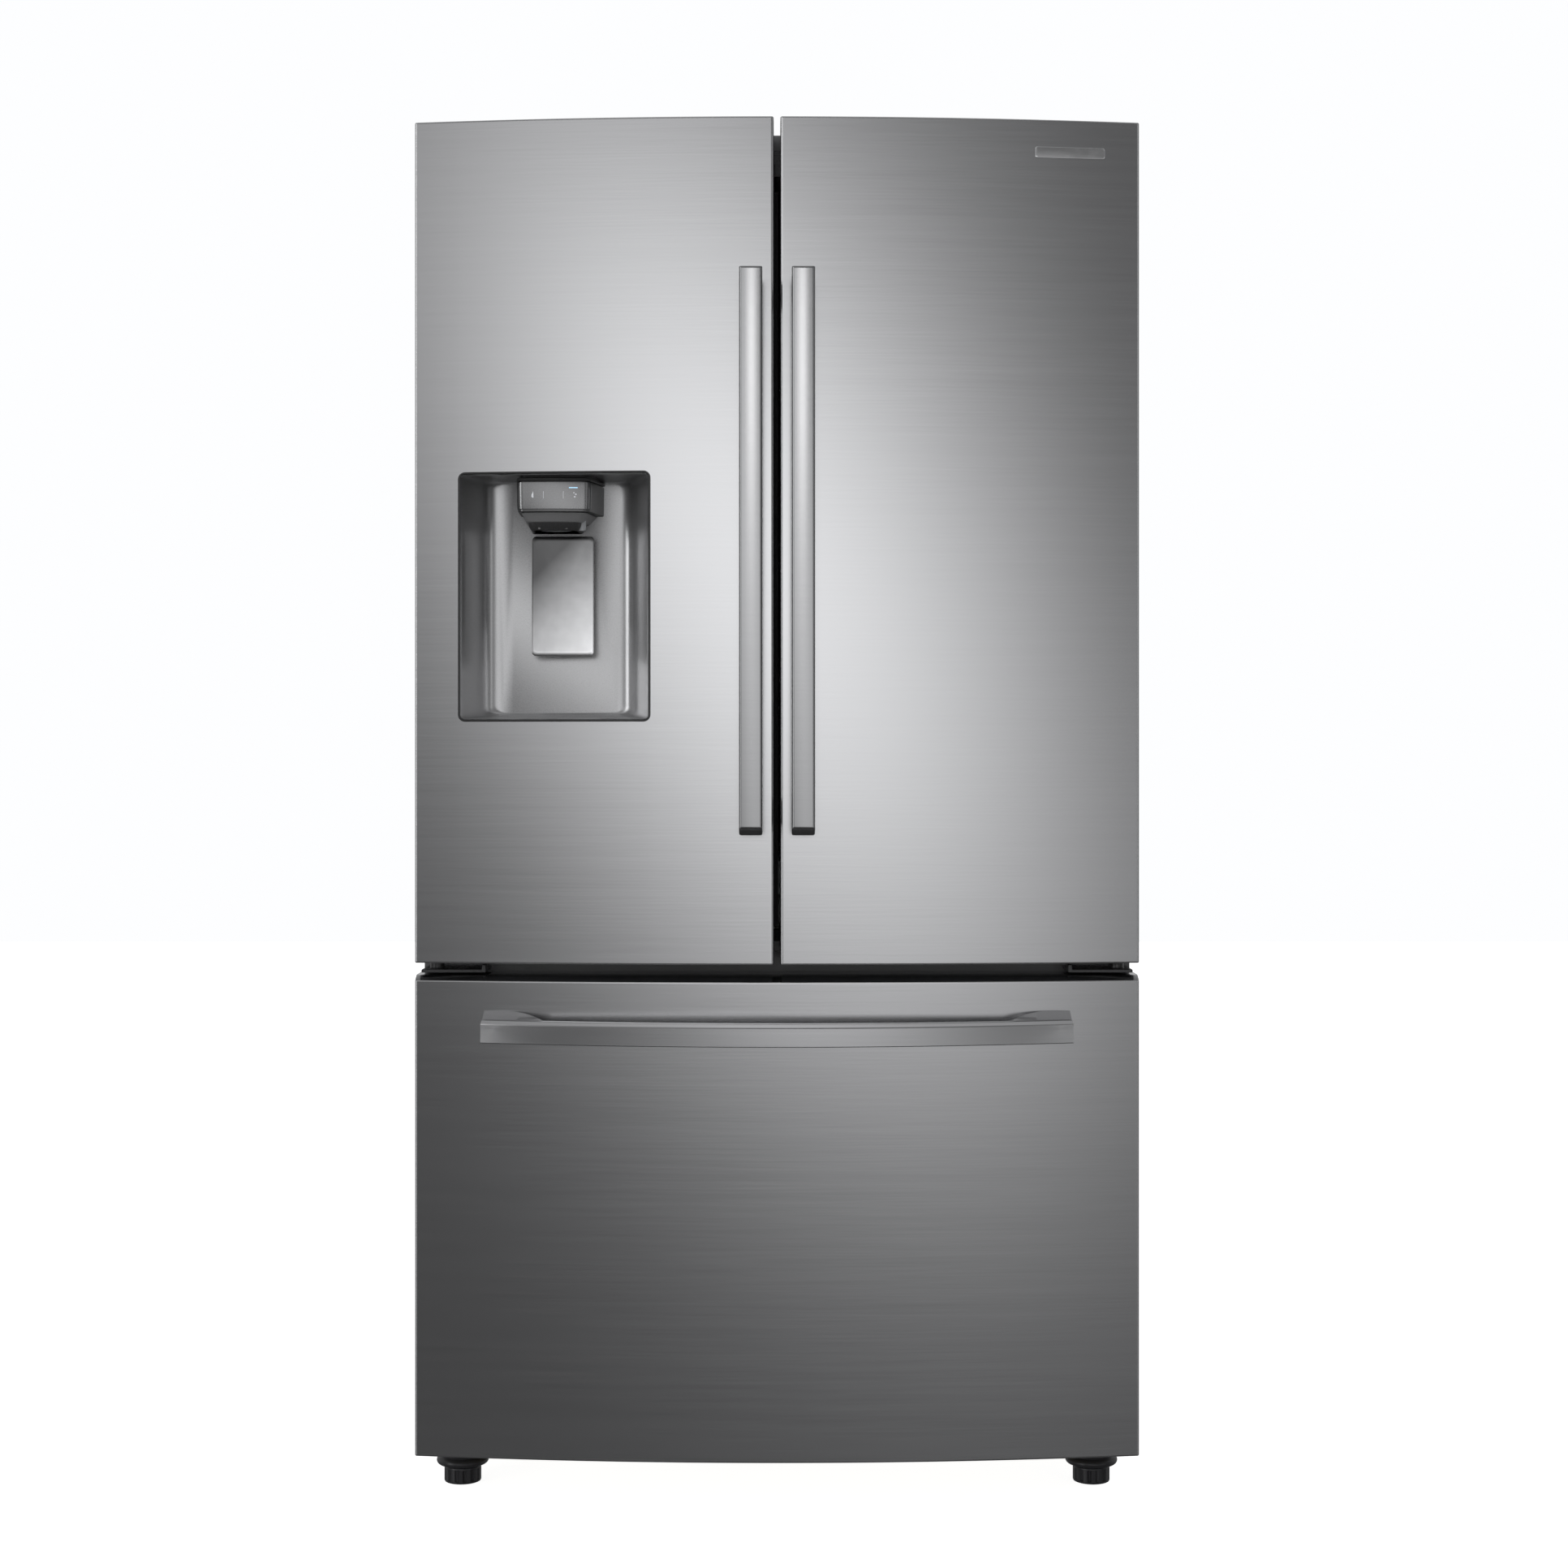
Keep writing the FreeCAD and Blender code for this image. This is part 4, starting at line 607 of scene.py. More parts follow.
def drawer_handle():
    """The bowed bar across the drawer, with an arm at each end that curves back to the front."""
    low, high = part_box("drawer_handle")
    half, sag, depth, height, chamfer = high.x, 46 * MM, 17 * MM, 28 * MM, 4.5 * MM
    bar_low, bar_high = low.z, low.z + height
    radius = (half ** 2 + sag ** 2) / (2 * sag)
    centre_y = low.y + radius

    def bow(x, inset):
        """Plan point on the bow at station x, inset from its front along the radius."""
        angle = math.asin(x / radius)
        return ((radius - inset) * math.sin(angle), centre_y - (radius - inset) * math.cos(angle))

    soft, stations = 1 * MM, 72
    section = [(0.0, bar_low + soft), (0.25 * MM, bar_low + 0.3 * MM), (soft, bar_low)]
    section += [(depth - soft, bar_low), (depth, bar_low + soft)]
    section += [(depth, bar_high - soft), (depth - soft, bar_high)]
    section += [(chamfer + 0.6 * MM, bar_high), (chamfer - 0.5 * MM, bar_high - 0.35 * MM)]
    section += [(0.45 * MM, bar_high - chamfer + 0.6 * MM), (0.0, bar_high - chamfer - 0.8 * MM)]
    loops = []
    for k in range(stations + 1):
        x = -half + 2 * half * k / stations
        loops.append([(*bow(x, inset), z) for inset, z in section])
    parts = [loft_data(loops)]
    reach, arm_steps, sweep, lift, heel = 76 * MM, 16, 2.4, 9.5 * MM, 2.5 * MM
    run = front_y(half) - bow(half, depth)[1] + 4 * MM
    for sign in (-1, 1):
        rings = []
        for k in range(arm_steps + 1):
            share = k / arm_steps
            x = sign * (half - 0.4 * MM - reach * share)
            bar_y = bow(x, depth - 2 * MM)[1]
            door = front_y(x) + 0.3 * MM
            back = bar_y + heel + (door - bar_y - heel) * (1 - share ** sweep)
            top = bar_high + lift * (back - bar_y) / run
            rings.append([(x, bar_y, bar_low + soft), (x, back, bar_low + soft), (x, back, top - 1.5 * MM),
                          (x, back - soft, top - 0.4 * MM), (x, bar_y + soft, bar_high - 1.2 * MM),
                          (x, bar_y, bar_high - 2 * MM)])
        parts.append(loft_data(rings))
    bow_mesh = joined("drawer_bow_handle", parts)
    piece("drawer_bow_handle", bow_mesh, "drawer_handle", "bow_steel", smooth=math.radians(14))


def badge():
    """The blank name plate: a thin raised plate that follows the door's curve."""
    low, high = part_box("badge")
    centre = ((low.x + high.x) / 2, (low.z + high.z) / 2)
    half = ((high.x - low.x) / 2, (high.z - low.z) / 2)
    corner = 2.5 * MM
    profile = ((0.0, 0.1), (0.0, -0.4), (0.4, -0.75), (1.4, -0.8))  # (inset, depth behind the front) in mm
    loops = []
    for inset, depth in profile:
        ring = round_rect(centre, (half[0] - inset * MM, half[1] - inset * MM), corner)
        loops.append([(x, front_y(x) + depth * MM, z) for x, z in ring])
    piece("blank_badge", loft("blank_badge", loops), "badge")


# -------------------- dispenser
def dispenser_recess():
    """The moulded recess: a straight mouth, drafted walls, and broad fillets into the back wall."""
    centre_x, centre_z = sum(RECESS_X) / 2, sum(RECESS_Z) / 2
    half_x, half_z = (RECESS_X[1] - RECESS_X[0]) / 2, (RECESS_Z[1] - RECESS_Z[0]) / 2
    back_y, bend_y, thickness = -289 * MM, -360 * MM, 1.6 * MM
    side_draft, floor_draft, fillet, floor_fillet = 25 * MM, 6 * MM, 16 * MM, 4 * MM
    mouth_corner, back_corner, flange_corner = 6, 11, 8
    wall_steps, fillet_steps = 8, 7
    loops = []

    def ring(depth_share, radius, inset, y_of):
        rise = inset * floor_fillet / fillet
        low_z, high_z = RECESS_Z[0] + floor_draft * depth_share + rise, RECESS_Z[1] - rise
        x_half = half_x - side_draft * depth_share - inset
        points = spread_rect((centre_x, (low_z + high_z) / 2), (x_half, (high_z - low_z) / 2), radius)
        loops.append([(x, y_of(x), z) for x, z in points])

    ring(0, mouth_corner * MM, 0, lambda x: front_y(x) + 0.8 * MM)
    ring(0, mouth_corner * MM, 0, lambda x: front_y(x) + 3 * MM)
    ring(0, mouth_corner * MM, 0, lambda x: max(bend_y, front_y(x) + 4 * MM))
    wall = back_y - fillet
    last = (wall - bend_y) / (back_y - bend_y)
    for k in range(1, wall_steps + 1):
        share = k / wall_steps * (wall - bend_y) / (back_y - bend_y)
        corner = (mouth_corner + (back_corner - mouth_corner) * share) * MM
        ring(share, corner, 0, lambda x, s=share: bend_y + s * (back_y - bend_y))
    for k in range(1, fillet_steps + 1):
        angle = math.radians(90 * k / fillet_steps)
        inset = fillet * (1 - math.cos(angle))
        depth = wall + fillet * math.sin(angle)
        ring(last + (1 - last) * math.sin(angle) * 0.6, back_corner * MM, inset, lambda x, d=depth: d)
    flange = []
    rim = ((-2.9, 3.9, flange_corner), (-2.9, 1.6, flange_corner), (0.0, 1.6, mouth_corner))
    for inset, depth, corner in rim:
        points = spread_rect((centre_x, centre_z), (half_x - inset * MM, half_z - inset * MM), corner * MM)
        flange.append([(x, front_y(x) + depth * MM, z) for x, z in points])
    verts, faces = loft_data(flange + loops, ends=(False, True))
    sheet = thickened(mesh_of("recess_shell", verts, faces, closed=False), thickness)
    piece("recess_shell", sheet, "dispenser_housing", smooth=math.radians(50))


def dispenser_bezel():
    """The dark trim around the opening, a closed profile carried round the mouth."""
    centre = (sum(RECESS_X) / 2, sum(RECESS_Z) / 2)
    half = ((RECESS_X[1] - RECESS_X[0]) / 2, (RECESS_Z[1] - RECESS_Z[0]) / 2)
    # (growth outwards, depth behind the door's front) in mm
    profile = [(3.0, 2.0), (3.0, 0.1), (2.7, -0.3), (1.6, -0.5)]
    profile += [(0.5, -0.3), (0.05, 0.4), (0.0, 3.6), (0.8, 3.6)]
    mouth_corner = 6
    loops = []
    for grow, depth in profile:
        ring = spread_rect(centre, (half[0] + grow * MM, half[1] + grow * MM), (mouth_corner + grow) * MM)
        loops.append([(x, front_y(x) + depth * MM, z) for x, z in ring])
    loops.append(loops[0])
    piece("recess_trim", loft("recess_trim", loops, ends=(False, False)), "dispenser_bezel")


POD_CORNER = 9 * MM


def pod_section(width_front, flares, front, back, radius):
    """Plan loop of the pod: a gently crowned front, rounded corners and sides that flare to the back."""
    low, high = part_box("dispenser_pod")
    centre = (low.x + high.x) / 2
    crown, crown_steps, corner_steps, corner_sweep = 2.2 * MM, 12, 7, 78
    half = width_front / 2 - radius
    points = []
    for k in range(crown_steps + 1):
        x = -half + 2 * half * k / crown_steps
        points.append((centre + x, front + crown * (x / half) ** 2))
    middle = front + crown + radius
    corner = []
    for k in range(1, corner_steps + 1):
        angle = math.radians(-90 + corner_sweep * k / corner_steps)
        corner.append((half + radius * math.cos(angle), middle + radius * math.sin(angle)))
    points += [(centre + x, y) for x, y in corner]
    points += [(centre + width_front / 2 + flares[1], back), (centre - width_front / 2 - flares[0], back)]
    return points + [(centre - x, y) for x, y in corner[::-1]]


# Levels of the pod's pieces, in mm: (height, inset all round, amount taken off the right flare).
# The heights count from the pod's base, and those of POD_HEAD_TOP from its top.
POD_HEAD_LOW = ((22, 5.2, 4), (22.2, 1.2, 1), (23, 0.6, 0))
POD_HEAD_TOP = ((-9.2, 0, 0), (-8.7, 1.8, 0), (-7.7, 1.8, 0), (-7.1, -0.6, 0), (-5.6, -1.2, 0),
                (-4.0, -0.9, 0), (-3.0, 0.6, 0), (-2.4, 3, 0), (0, 3.4, 0))
POD_COLLAR = ((9, 16, 13), (10.4, 10.4, 11), (10.9, 9.6, 10), (12, 9.0, 9), (20.6, 5.2, 4.5),
              (21.4, 4.8, 4), (22.1, 5.6, 5))
POD_THROAT = ((16, 22, 20), (1, 19, 15), (0, 17.4, 13), (0.4, 15.8, 12), (5, 13.2, 11), (10.6, 12, 10))
POD_FLARES = (2 * MM, 13 * MM)


def dispenser_pod():
    """The pod in three pieces: its body, the grey collar below, and the dark throat inside the collar."""
    low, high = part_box("dispenser_pod")
    front, wide = low.y, high.x - low.x

    def levels(start, rows):
        loops = []
        for rise, inset, cut in rows:
            z, inset, cut = start + rise * MM, inset * MM, cut * MM
            flares = (POD_FLARES[0], max(0.0, POD_FLARES[1] - cut))
            section = pod_section(wide - 2 * inset, flares, front + inset, high.y, POD_CORNER)
            loops.append([(x, y, z) for x, y in section])
        return loops

    head = levels(low.z, POD_HEAD_LOW) + levels(high.z, POD_HEAD_TOP)
    piece("pod_body", loft("pod_body", head), "dispenser_pod")
    collar = levels(low.z, POD_COLLAR)
    piece("pod_collar", loft("pod_collar", collar), "dispenser_pod", "collar_grey")
    parts = [loft_data(levels(low.z, POD_THROAT))]
    middle = (low.x + high.x) / 2
    teeth, pitch, tooth = 5, 8.5 * MM, 3 * MM
    for k in range(teeth):
        x = middle + (k - 2.4) * pitch
        parts.append(rounded_block((x, front + 15.5 * MM, low.z + 1 * MM),
                                   (x + tooth, front + 20 * MM, low.z + 6 * MM), 0.8 * MM, "y", 0.4 * MM))
    piece("pod_throat", joined("pod_throat", parts), "dispenser_pod")


def symbol_disc(centre, radius, y, steps=20, point=0.0):
    """(verts, faces) of a small flat raised mark; point draws its top up into a drop."""
    pinch = 0.55
    rings = []
    for depth, scale in ((0.0, 1.0), (-0.12 * MM, 1.0), (-0.16 * MM, 0.9)):
        ring = []
        for k in range(steps):
            angle = 2 * math.pi * k / steps
            lift = point * max(0.0, math.sin(angle)) ** 3
            narrow = 1 - pinch * min(1.0, lift / (point + 1e-9)) * (point > 0)
            x = centre[0] + radius * scale * math.cos(angle) * narrow
            ring.append((x, y + depth, centre[1] + radius * scale * math.sin(angle) + lift * scale))
        rings.append(ring)
    return loft_data(rings)


def upright_mark(centre, half, depths, radius, edge):
    """(verts, faces) of a thin rounded block that faces forwards; depths are its front and back y."""
    low = (centre[0] - half[0], depths[0], centre[1] - half[1])
    high = (centre[0] + half[0], depths[1], centre[1] + half[1])
    return rounded_block(low, high, radius, "y", edge)


def pod_fascia():
    """The satin plate that wraps the pod's front."""
    low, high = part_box("control_panel")
    pod_low, pod_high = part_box("dispenser_pod")
    wide, face = pod_high.x - pod_low.x, pod_low.y
    slant, over, plate_depth = 0.6 * MM, 0.8 * MM, 20 * MM
    bottom = ((0.2, 1.9), (0.2, 0.5), (0.9, -0.05), (6, -0.25))  # (height from the end, inset) in mm
    top = ((5, -0.3), (0.9, -0.05), (0.2, 0.5), (0.2, 1.9))
    levels = [(low.z + rise * MM, inset) for rise, inset in bottom]
    levels += [(high.z - drop * MM, inset) for drop, inset in top]
    loops = []
    for z, inset in levels:
        share = (z - low.z) / (high.z - low.z)
        narrow = slant * (1 - share) - over
        width = wide - 2 * narrow - 2 * inset * MM
        section = pod_section(width, (0, 0), face + inset * MM, face + plate_depth, POD_CORNER)
        loops.append([(x, y, z) for x, y in section])
    piece("pod_fascia", loft("pod_fascia", loops), "control_panel")


def pod_symbols():
    """Plain symbols for water, cubed ice and crushed ice, two dividing lines and a small indicator."""
    low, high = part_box("control_panel")
    pod_low, pod_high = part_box("dispenser_pod")
    centre, middle = (pod_low.x + pod_high.x) / 2, low.z + 0.52 * (high.z - low.z)
    y, gap = pod_low.y - 0.05 * MM, 25 * MM
    mark_y = y + 0.9 * MM
    marks = [symbol_disc((centre - gap, middle - 1.2 * MM), 2.6 * MM, mark_y, point=3.6 * MM)]
    cubes = ((0, 0, 3.0), (2.2, -2.2, 2.2))  # (right, up, half size) in mm
    for dx, dz, size in cubes:
        marks.append(upright_mark((centre + dx * MM, middle + dz * MM), (size * MM, size * MM),
                                  (y - 0.15 * MM, y + 0.5 * MM), 0.6 * MM, 0.1 * MM))
    grains = ((-3, 1.5), (0.4, 2.6), (3.2, 0.6), (-1.6, -2.0), (1.8, -2.4))  # (right, up) in mm
    for k, (dx, dz) in enumerate(grains):
        place_at = (centre + gap + dx * MM, middle + dz * MM)
        marks.append(symbol_disc(place_at, (1.25 - 0.1 * (k % 3)) * MM, mark_y, steps=5 + k % 3))
    for x in (centre - gap / 2, centre + gap / 2):
        marks.append(upright_mark((x, middle), (0.25 * MM, 4.5 * MM), (y, y + 0.5 * MM), 0.2 * MM, 0.05 * MM))
    # The symbols glow faintly: painted light on a print.
    piece("pod_symbols", joined("pod_symbols", marks), "control_panel", "symbol_print")
    bar = upright_mark((centre + gap, high.z - 7.8 * MM), (5.5 * MM, 0.6 * MM), (y + 0.3 * MM, y + 1.2 * MM),
                       0.5 * MM, 0.1 * MM)
    piece("pod_indicator", joined("pod_indicator", [bar]), "control_panel", "indicator")


def circle(centre, radius, steps):
    """Points of a circle in its own plane."""
    angles = [2 * math.pi * k / steps for k in range(steps)]
    return [(centre[0] + radius * math.cos(a), centre[1] + radius * math.sin(a)) for a in angles]


def tube(centre, radius_out, radius_in, z_low, z_high, steps=32):
    """(verts, faces) of an upright open tube with softened rims."""
    soft = 0.4 * MM
    profile = [(radius_in, z_low + soft), (radius_in + soft, z_low), (radius_out - soft, z_low),
               (radius_out, z_low + soft), (radius_out, z_high - soft), (radius_out - soft, z_high),
               (radius_in + soft, z_high), (radius_in, z_high - soft)]
    loops = []
    for radius, z in profile + profile[:1]:
        loops.append([(x, y, z) for x, y in circle(centre, radius, steps)])
    return loft_data(loops, ends=(False, False))


def dispenser_chute():
    """The wide ice chute and the thin water spout beside it."""
    low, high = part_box("dispenser_chute")
    chute_centre = ((low.x + high.x) / 2, (low.y + high.y) / 2)
    spout_centre = (high.x + 6 * MM, low.y + 8 * MM)
    parts = [tube(chute_centre, 20 * MM, 18 * MM, low.z, high.z, 48),
             tube(spout_centre, 5 * MM, 3 * MM, low.z - 1.5 * MM, high.z)]
    piece("spout_tubes", joined("spout_tubes", parts), "dispenser_chute", "satin_trim")


def paddle():
    """The polished plate that is pressed, with a dark backing and the pin that it turns on."""
    low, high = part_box("dispenser_paddle")
    centre = ((low.x + high.x) / 2, (low.z + high.z) / 2)
    half = ((high.x - low.x) / 2 - 6.5 * MM, (high.z - low.z) / 2)
    crown, lean = 1.4 * MM, 7 * MM
    front = low.y

    def lens(x, z):
        """A slight hollow, deepest in the middle, in a plate whose lower end leans forward."""
        u, v = (x - centre[0]) / half[0], (z - centre[1]) / half[1]
        return crown * (1 - 0.7 * u * u - 0.3 * v * v) + lean * (v + 1) / 2

    rim = ((2.4, 4.0), (0.4, 4.0), (0.0, 3.4), (0.0, 0.9), (0.3, 0.3), (1.0, 0.0))  # (inset, depth) in mm
    rim_corner, face_corner = 5.5, 5 * MM
    face_shares = (0.92, 0.8, 0.62, 0.42, 0.2, 0.03)
    loops = []
    for inset, depth in rim:
        reach = (half[0] - inset * MM, half[1] - inset * MM)
        ring = round_rect(centre, reach, (rim_corner - inset * 0.6) * MM)
        loops.append([(x, front + depth * MM + lens(x, z), z) for x, z in ring])
    for share in face_shares:
        ring = round_rect(centre, (half[0] * share, half[1] * share), face_corner * share)
        loops.append([(x, front + lens(x, z), z) for x, z in ring])
    plate = loft("paddle_plate", loops)
    piece("paddle_plate", plate, "dispenser_paddle", "paddle_mirror", math.radians(40))
    backing_low = (centre[0] - half[0] + 4 * MM, front + 12.2 * MM, low.z + 40 * MM)
    backing_high = (centre[0] + half[0] - 4 * MM, high.y - 1 * MM, high.z - 2 * MM)
    backing = rounded_block(backing_low, backing_high, 5 * MM, "y")
    axis, steps = (-303 * MM, 1221 * MM), 24
    pin_radius, end_radius, soft, shy = 2.5 * MM, 2.2 * MM, 0.4 * MM, 7 * MM
    left, right = low.x + shy, high.x - shy
    pin = []
    for x, radius in ((left, end_radius), (left + soft, pin_radius),
                      (right - soft, pin_radius), (right, end_radius)):
        pin.append([(x, y, z) for y, z in circle(axis, radius, steps)])
    dark_parts = joined("paddle_backing", [backing, loft_data(pin)])
    piece("paddle_backing", dark_parts, "dispenser_paddle", "dark_plastic")


# -------------------- feet
def turned(profile, centre, steps=72, radius_of=None):
    """(verts, faces) of an upright turned shape; radius_of may vary a radius with the angle."""
    loops = []
    for radius, z in profile:
        loop = []
        for k in range(steps):
            angle = 2 * math.pi * k / steps
            r = radius_of(radius, z, angle) if radius_of else radius
            loop.append((centre[0] + r * math.cos(angle), centre[1] + r * math.sin(angle), z))
        loops.append(loop)
    return loft_data(loops)


FOOT_PROFILE = (  # (inset from the rim, height) in mm
    (1.6, 0), (0.5, 0.4), (0, 1.4), (0, 3.1), (0, 3.3), (0, 18), (0, 18.3), (0, 20), (0.6, 21), (2, 21.6),
)
FLUTES, FLUTE_DEPTH = 14, 2.2 * MM
FLUTE_LOW, FLUTE_HIGH = 3.2 * MM, 18.2 * MM


def fluted(radius, z, angle):
    """A foot's radius, cut back in the grooves round its grip."""
    if not FLUTE_LOW < z < FLUTE_HIGH:
        return radius
    wave = 0.5 + 0.5 * math.cos(FLUTES * angle)
    return radius - FLUTE_DEPTH * max(0.0, min(1.0, (wave - 0.62) * 5))


def feet():
    """The two fluted levelling feet, each with its stem."""
    stem_radius, stem_low, stem_high = 7 * MM, 21.7 * MM, 56 * MM
    for side in DOOR_SIDES:
        low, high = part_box(f"{side}_levelling_leg")
        centre, radius = ((low.x + high.x) / 2, (low.y + high.y) / 2), (high.x - low.x) / 2
        profile = [(radius - inset * MM, z * MM) for inset, z in FOOT_PROFILE]
        profile += [(stem_radius, stem_low), (stem_radius, stem_high)]
        foot = joined(f"{side}_foot", [turned(profile, centre, 168, fluted)])
        piece(f"{side}_foot", foot, f"{side}_levelling_leg", "foot_plastic", math.radians(40))


def foot_cups():
    """The two round cups under the cabinet that the feet stand in."""
    low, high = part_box("leg_housings")
    cup_radius, bore, lip_radius = (high.y - low.y) / 2, 9 * MM, 5 * MM
    profile = [(bore, 24.5 * MM), (cup_radius - 8 * MM, 23 * MM)]
    for k in range(9):
        angle = math.radians(-80 + 20 * k)
        lip = (cup_radius - lip_radius + lip_radius * math.cos(angle), 28 * MM + lip_radius * math.sin(angle))
        profile.append(lip)
    profile += [(cup_radius - 6 * MM, 34 * MM), (cup_radius - 5 * MM, 38 * MM)]
    profile += [(cup_radius - 1.5 * MM, 58 * MM), (cup_radius - 3 * MM, high.z), (bore, high.z)]
    parts = []
    for sign in (-1, 1):
        parts.append(turned(profile, (sign * (high.x - cup_radius), (low.y + high.y) / 2)))
    piece("foot_cups", joined("foot_cups", parts), "leg_housings", "foot_plastic", math.radians(40))


# -------------------- pieces that keep their CAD shape
SOFTENED = {  # how far the sharp edges are rounded, in mm
    "cabinet_wrapper": 0.4, "rear_panel": 0.8, "fridge_liner": 1.6, "freezer_liner": 1.6,
    "centre_rail": 0.3, "base_frame": 0.6, "machine_cover": 0.3, "compressor": 3.0, "air_ducts": 2.0,
    "ice_maker": 3.0, "shelf_frames": 1.6, "glass_shelves": 0.8, "top_hinges": 0.8, "hinge_covers": 3.0,
    "middle_hinges": 0.8, "outer_slides": 0.5, "middle_slides": 0.5, "drawer_slides": 0.5,
    "water_inlet": 1.0, "left_roller": 0.6, "right_roller": 0.6, "left_crisper": 0.8,
    "right_crisper": 0.8, "pantry_drawer": 0.8, "freezer_tray": 0.8, "freezer_basket": 0.8,
    "left_door_liner": 0.9, "right_door_liner": 0.9, "drawer_liner": 0.9, "left_door_gasket": 2.0,
    "right_door_gasket": 2.0, "drawer_gasket": 2.0, "left_door_caps": 0.8, "right_door_caps": 0.8,
    "drawer_caps": 0.8, "left_door_bins": 0.8, "right_door_bins": 0.8, "flip_mullion": 1.5,
    "condenser": 0.2, "condenser_fan": 0.5,
}

# Nodes whose look differs from the one that their slot names.
OTHER_LOOK = {
    "fridge_liner": "cabinet_liner",
    "freezer_liner": "cabinet_liner",
    "middle_hinges": "hinge_black",
}


# -------------------- floor, light and camera
FLOOR_CORNERS = [(-9, -7, 0), (9, -7, 0), (9, 9, 0), (-9, 9, 0)]
FLOOR_GLOW = 0.93


def studio_floor():
    """A plain pale floor that lights nothing and isn't mirrored in the doors."""
    mesh = mesh_of("studio_floor", FLOOR_CORNERS, [(0, 1, 2, 3)], closed=False)
    floor = bpy.data.objects.new("studio_floor", mesh)
    bpy.context.scene.collection.objects.link(floor)
    tree = Tree("studio_floor")
    tree.shade(tree.noise(2.0, 3.0), grey(0.86), grey(0.90))
    tree.set(Roughness=0.9, Emission_Color=(1, 1, 1, 1), Emission_Strength=FLOOR_GLOW)
    mesh.materials.append(tree.material)
    floor.visible_glossy = False
    floor.visible_diffuse = False


class Sky:
    """The world's node tree: light worked out from the direction it comes from."""

    def __init__(self):
        world = bpy.data.worlds.new("studio")
        bpy.context.scene.world = world
        world.use_nodes = True
        self.tree = world.node_tree
        split = self.tree.nodes.new("ShaderNodeSeparateXYZ")
        self.tree.links.new(self.tree.nodes.new("ShaderNodeTexCoord").outputs["Generated"], split.inputs[0])
        x, y, z = split.outputs
        self.azimuth = self.math("ARCTAN2", x, self.math("MULTIPLY", y, -1.0))
        self.height = self.math("ARCSINE", z)

    def math(self, operation, *values):
        node = self.tree.nodes.new("ShaderNodeMath")
        node.operation = operation
        for socket, value in zip(node.inputs, values):
            if isinstance(value, (int, float)):
                socket.default_value = value
            else:
                self.tree.links.new(value, socket)
        return node.outputs[0]

    def glow(self, level, azimuth, height, wide, tall, turn=0.0):
        """A soft box seen at a direction, with its spreads in degrees, turned clockwise."""
        across = self.math("SUBTRACT", self.azimuth, math.radians(azimuth))
        up = self.math("SUBTRACT", self.height, math.radians(height))
        cos, sin = math.cos(math.radians(turn)), math.sin(math.radians(turn))
        u = self.math("SUBTRACT", self.math("MULTIPLY", across, cos), self.math("MULTIPLY", up, sin))
        v = self.math("ADD", self.math("MULTIPLY", across, sin), self.math("MULTIPLY", up, cos))
        u = self.math("POWER", self.math("DIVIDE", u, math.radians(wide)), 2.0)
        v = self.math("POWER", self.math("DIVIDE", v, math.radians(tall)), 2.0)
        fall = self.math("EXPONENT", self.math("MULTIPLY", self.math("ADD", u, v), -0.5))
        return self.math("MULTIPLY", fall, level)

    def finish(self, levels):
        total = levels[0]
        for level in levels[1:]:
            total = self.math("ADD", total, level)
        path = self.tree.nodes.new("ShaderNodeLightPath")
        mix = self.tree.nodes.new("ShaderNodeMix")
        self.tree.links.new(path.outputs["Is Camera Ray"], mix.inputs["Factor"])
        self.tree.links.new(total, mix.inputs["A"])
        mix.inputs["B"].default_value = 1.0
        background = self.tree.nodes["Background"]
        self.tree.links.new(mix.outputs["Result"], background.inputs["Strength"])
        background.inputs["Color"].default_value = (0.985, 0.99, 1.0, 1)


def lamp(name, location, target, size, power):
    light = bpy.data.lights.new(name, "AREA")
    light.shape, light.size, light.size_y, light.energy = "RECTANGLE", size[0], size[1], power
    shape = bpy.data.objects.new(name, light)
    bpy.context.scene.collection.objects.link(shape)
    aim = (Vector(target) - Vector(location)).to_track_quat("-Z", "Y")
    shape.matrix_world = Matrix.Translation(location) @ aim.to_matrix().to_4x4()
    return shape


HANDLE_LAMP = {
    "location": (0.0, -12.4, 3.45),
    "target": (0.0, -0.449, 1.2),
    "size": (1.4, 1.4),
    "power": 21.0,
}


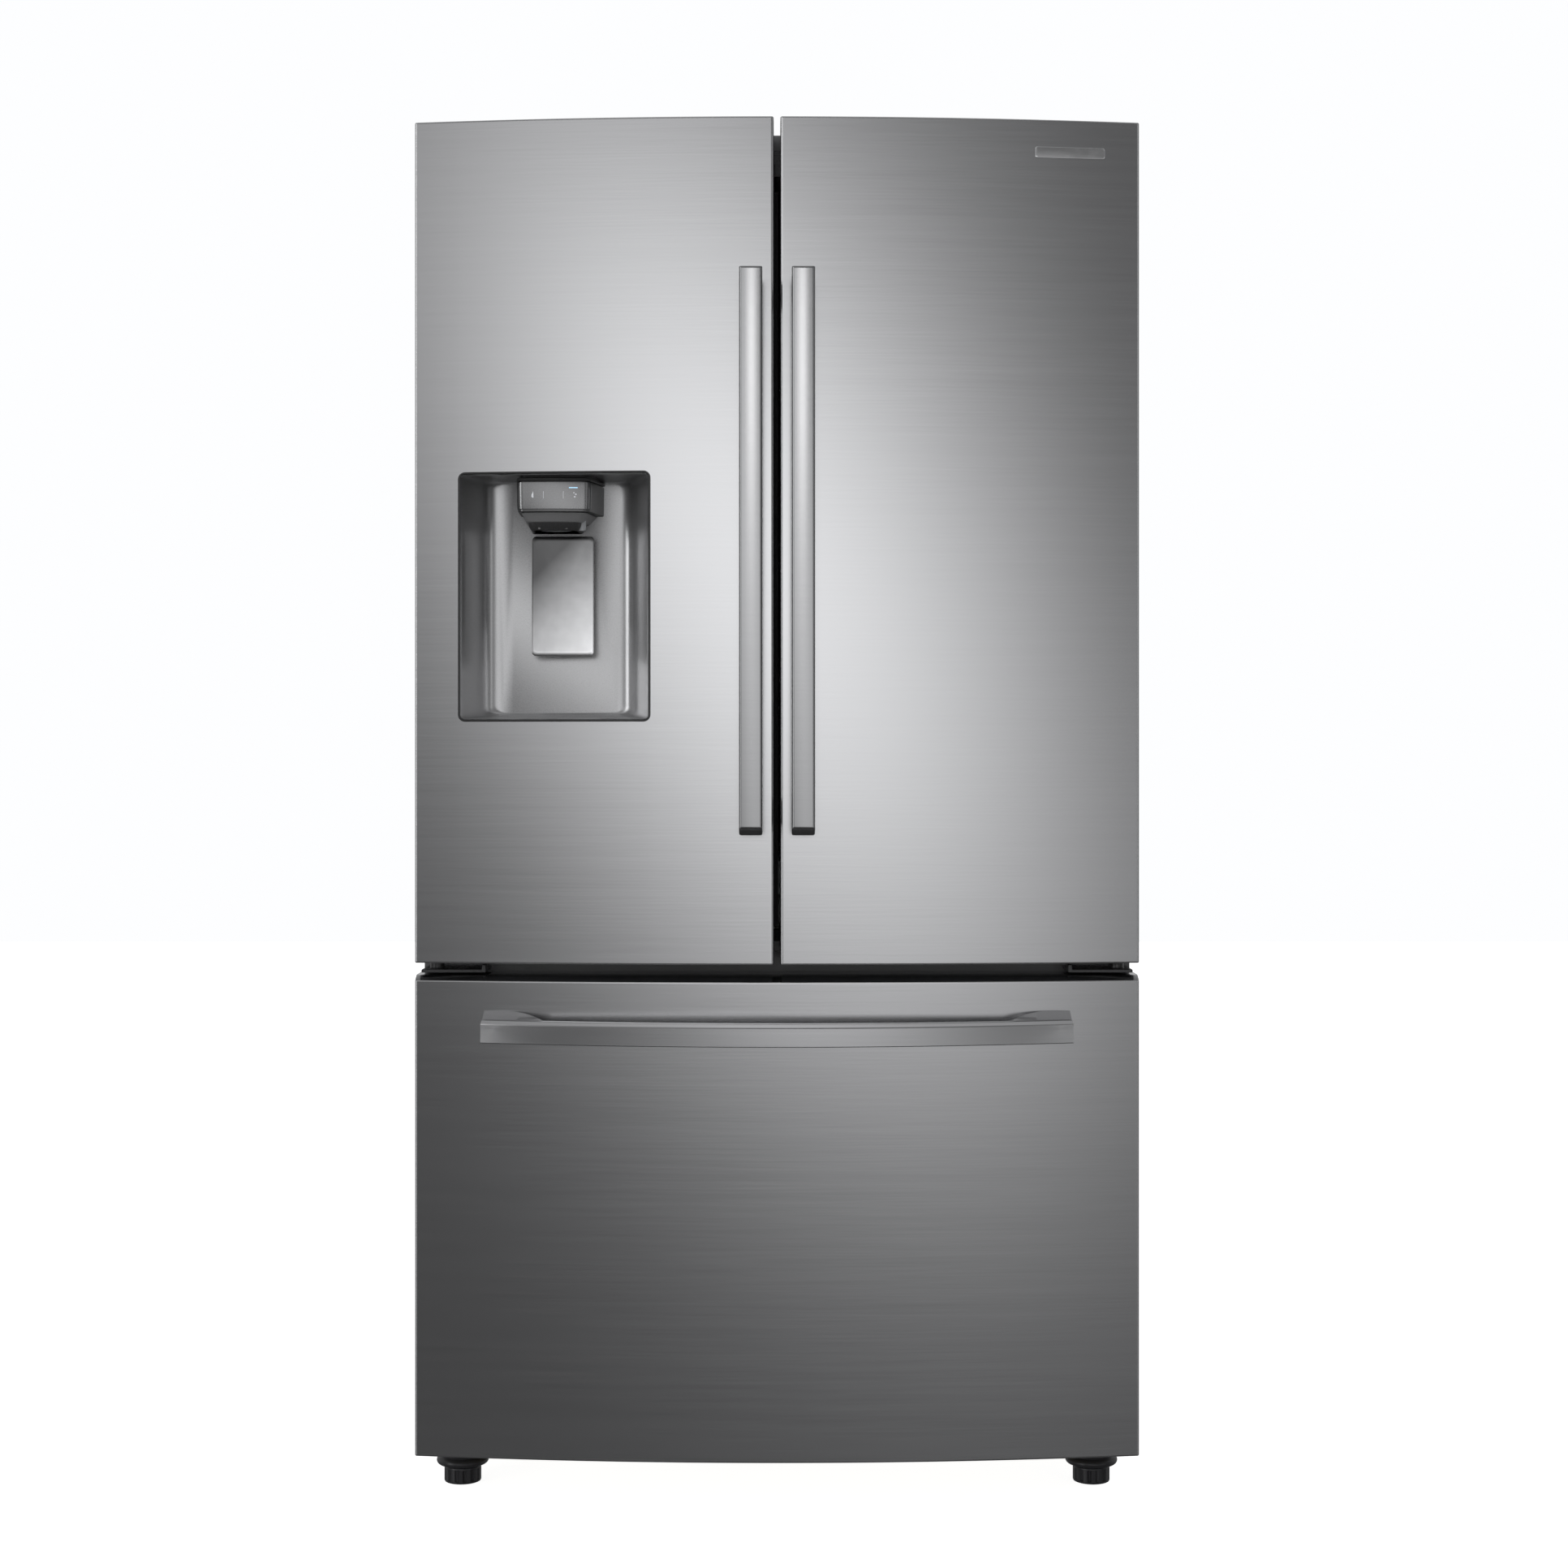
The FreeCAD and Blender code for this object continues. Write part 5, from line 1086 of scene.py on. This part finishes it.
def handle_light():
    """A soft box far in front and above that lights the two bar handles only."""
    light = lamp("handle_light", **HANDLE_LAMP)
    lit_pieces = bpy.data.collections.new("bar_handles")
    for side in DOOR_SIDES:
        lit_pieces.objects.link(bpy.data.objects[f"{side}_bar_handle"])
    light.light_linking.receiver_collection = lit_pieces


SKY_LEVEL = 0.072
GLOWS = (  # level, azimuth, height, spread across, spread upwards, turn clockwise; angles in degrees
    (1.62, -1.6, 4.5, 15.5, 5.8, 17.0),  # the main box in front
    (3.2, -50, 10, 6, 16),               # strong and narrow, front left
    (0.9, 44, 4, 5, 14),                 # weak and narrow, front right
    (0.75, 0, 78, 60, 24),               # overhead
    (0.45, -110, 15, 18, 26),            # left side
    (0.45, 110, 15, 18, 26),             # right side
    (0.50, 178, 12, 30, 25),             # the back, in two halves that meet behind the cabinet
    (0.50, -178, 12, 30, 25),
)


def studio_light():
    sky = Sky()
    sky.finish([sky.math("ADD", 0.0, SKY_LEVEL)] + [sky.glow(*row) for row in GLOWS])


SENSOR, LENS = 36.0, 56.8
SHIFT = (0.00445, -0.0200)
CAMERA_PLACE = (0.0, -3.454, 0.9535)


def camera():
    data = bpy.data.cameras.new("camera")
    data.sensor_width, data.lens = SENSOR, LENS
    data.shift_x, data.shift_y = SHIFT
    data.clip_end = 60.0
    view = bpy.data.objects.new("camera", data)
    view.location = CAMERA_PLACE
    view.rotation_euler = (math.radians(90), 0, 0)
    bpy.context.scene.collection.objects.link(view)
    bpy.context.scene.camera = view
    bpy.context.scene.view_settings.view_transform = "Standard"


# -------------------- the whole scene
door_skins()
drawer_skin()
door_handles()
drawer_handle()
badge()
dispenser_recess()
dispenser_bezel()
dispenser_pod()
pod_fascia()
pod_symbols()
dispenser_chute()
paddle()
feet()
foot_cups()
for cad_node, soften in SOFTENED.items():
    refined(cad_node, soften * MM, material=OTHER_LOOK.get(cad_node))
for cad_node, carried in frame["nodes"].items():
    carried.data.materials.clear()
    carried.data.materials.append(MATERIALS[SLOT_OF[cad_node]])
studio_floor()
studio_light()
handle_light()
camera()
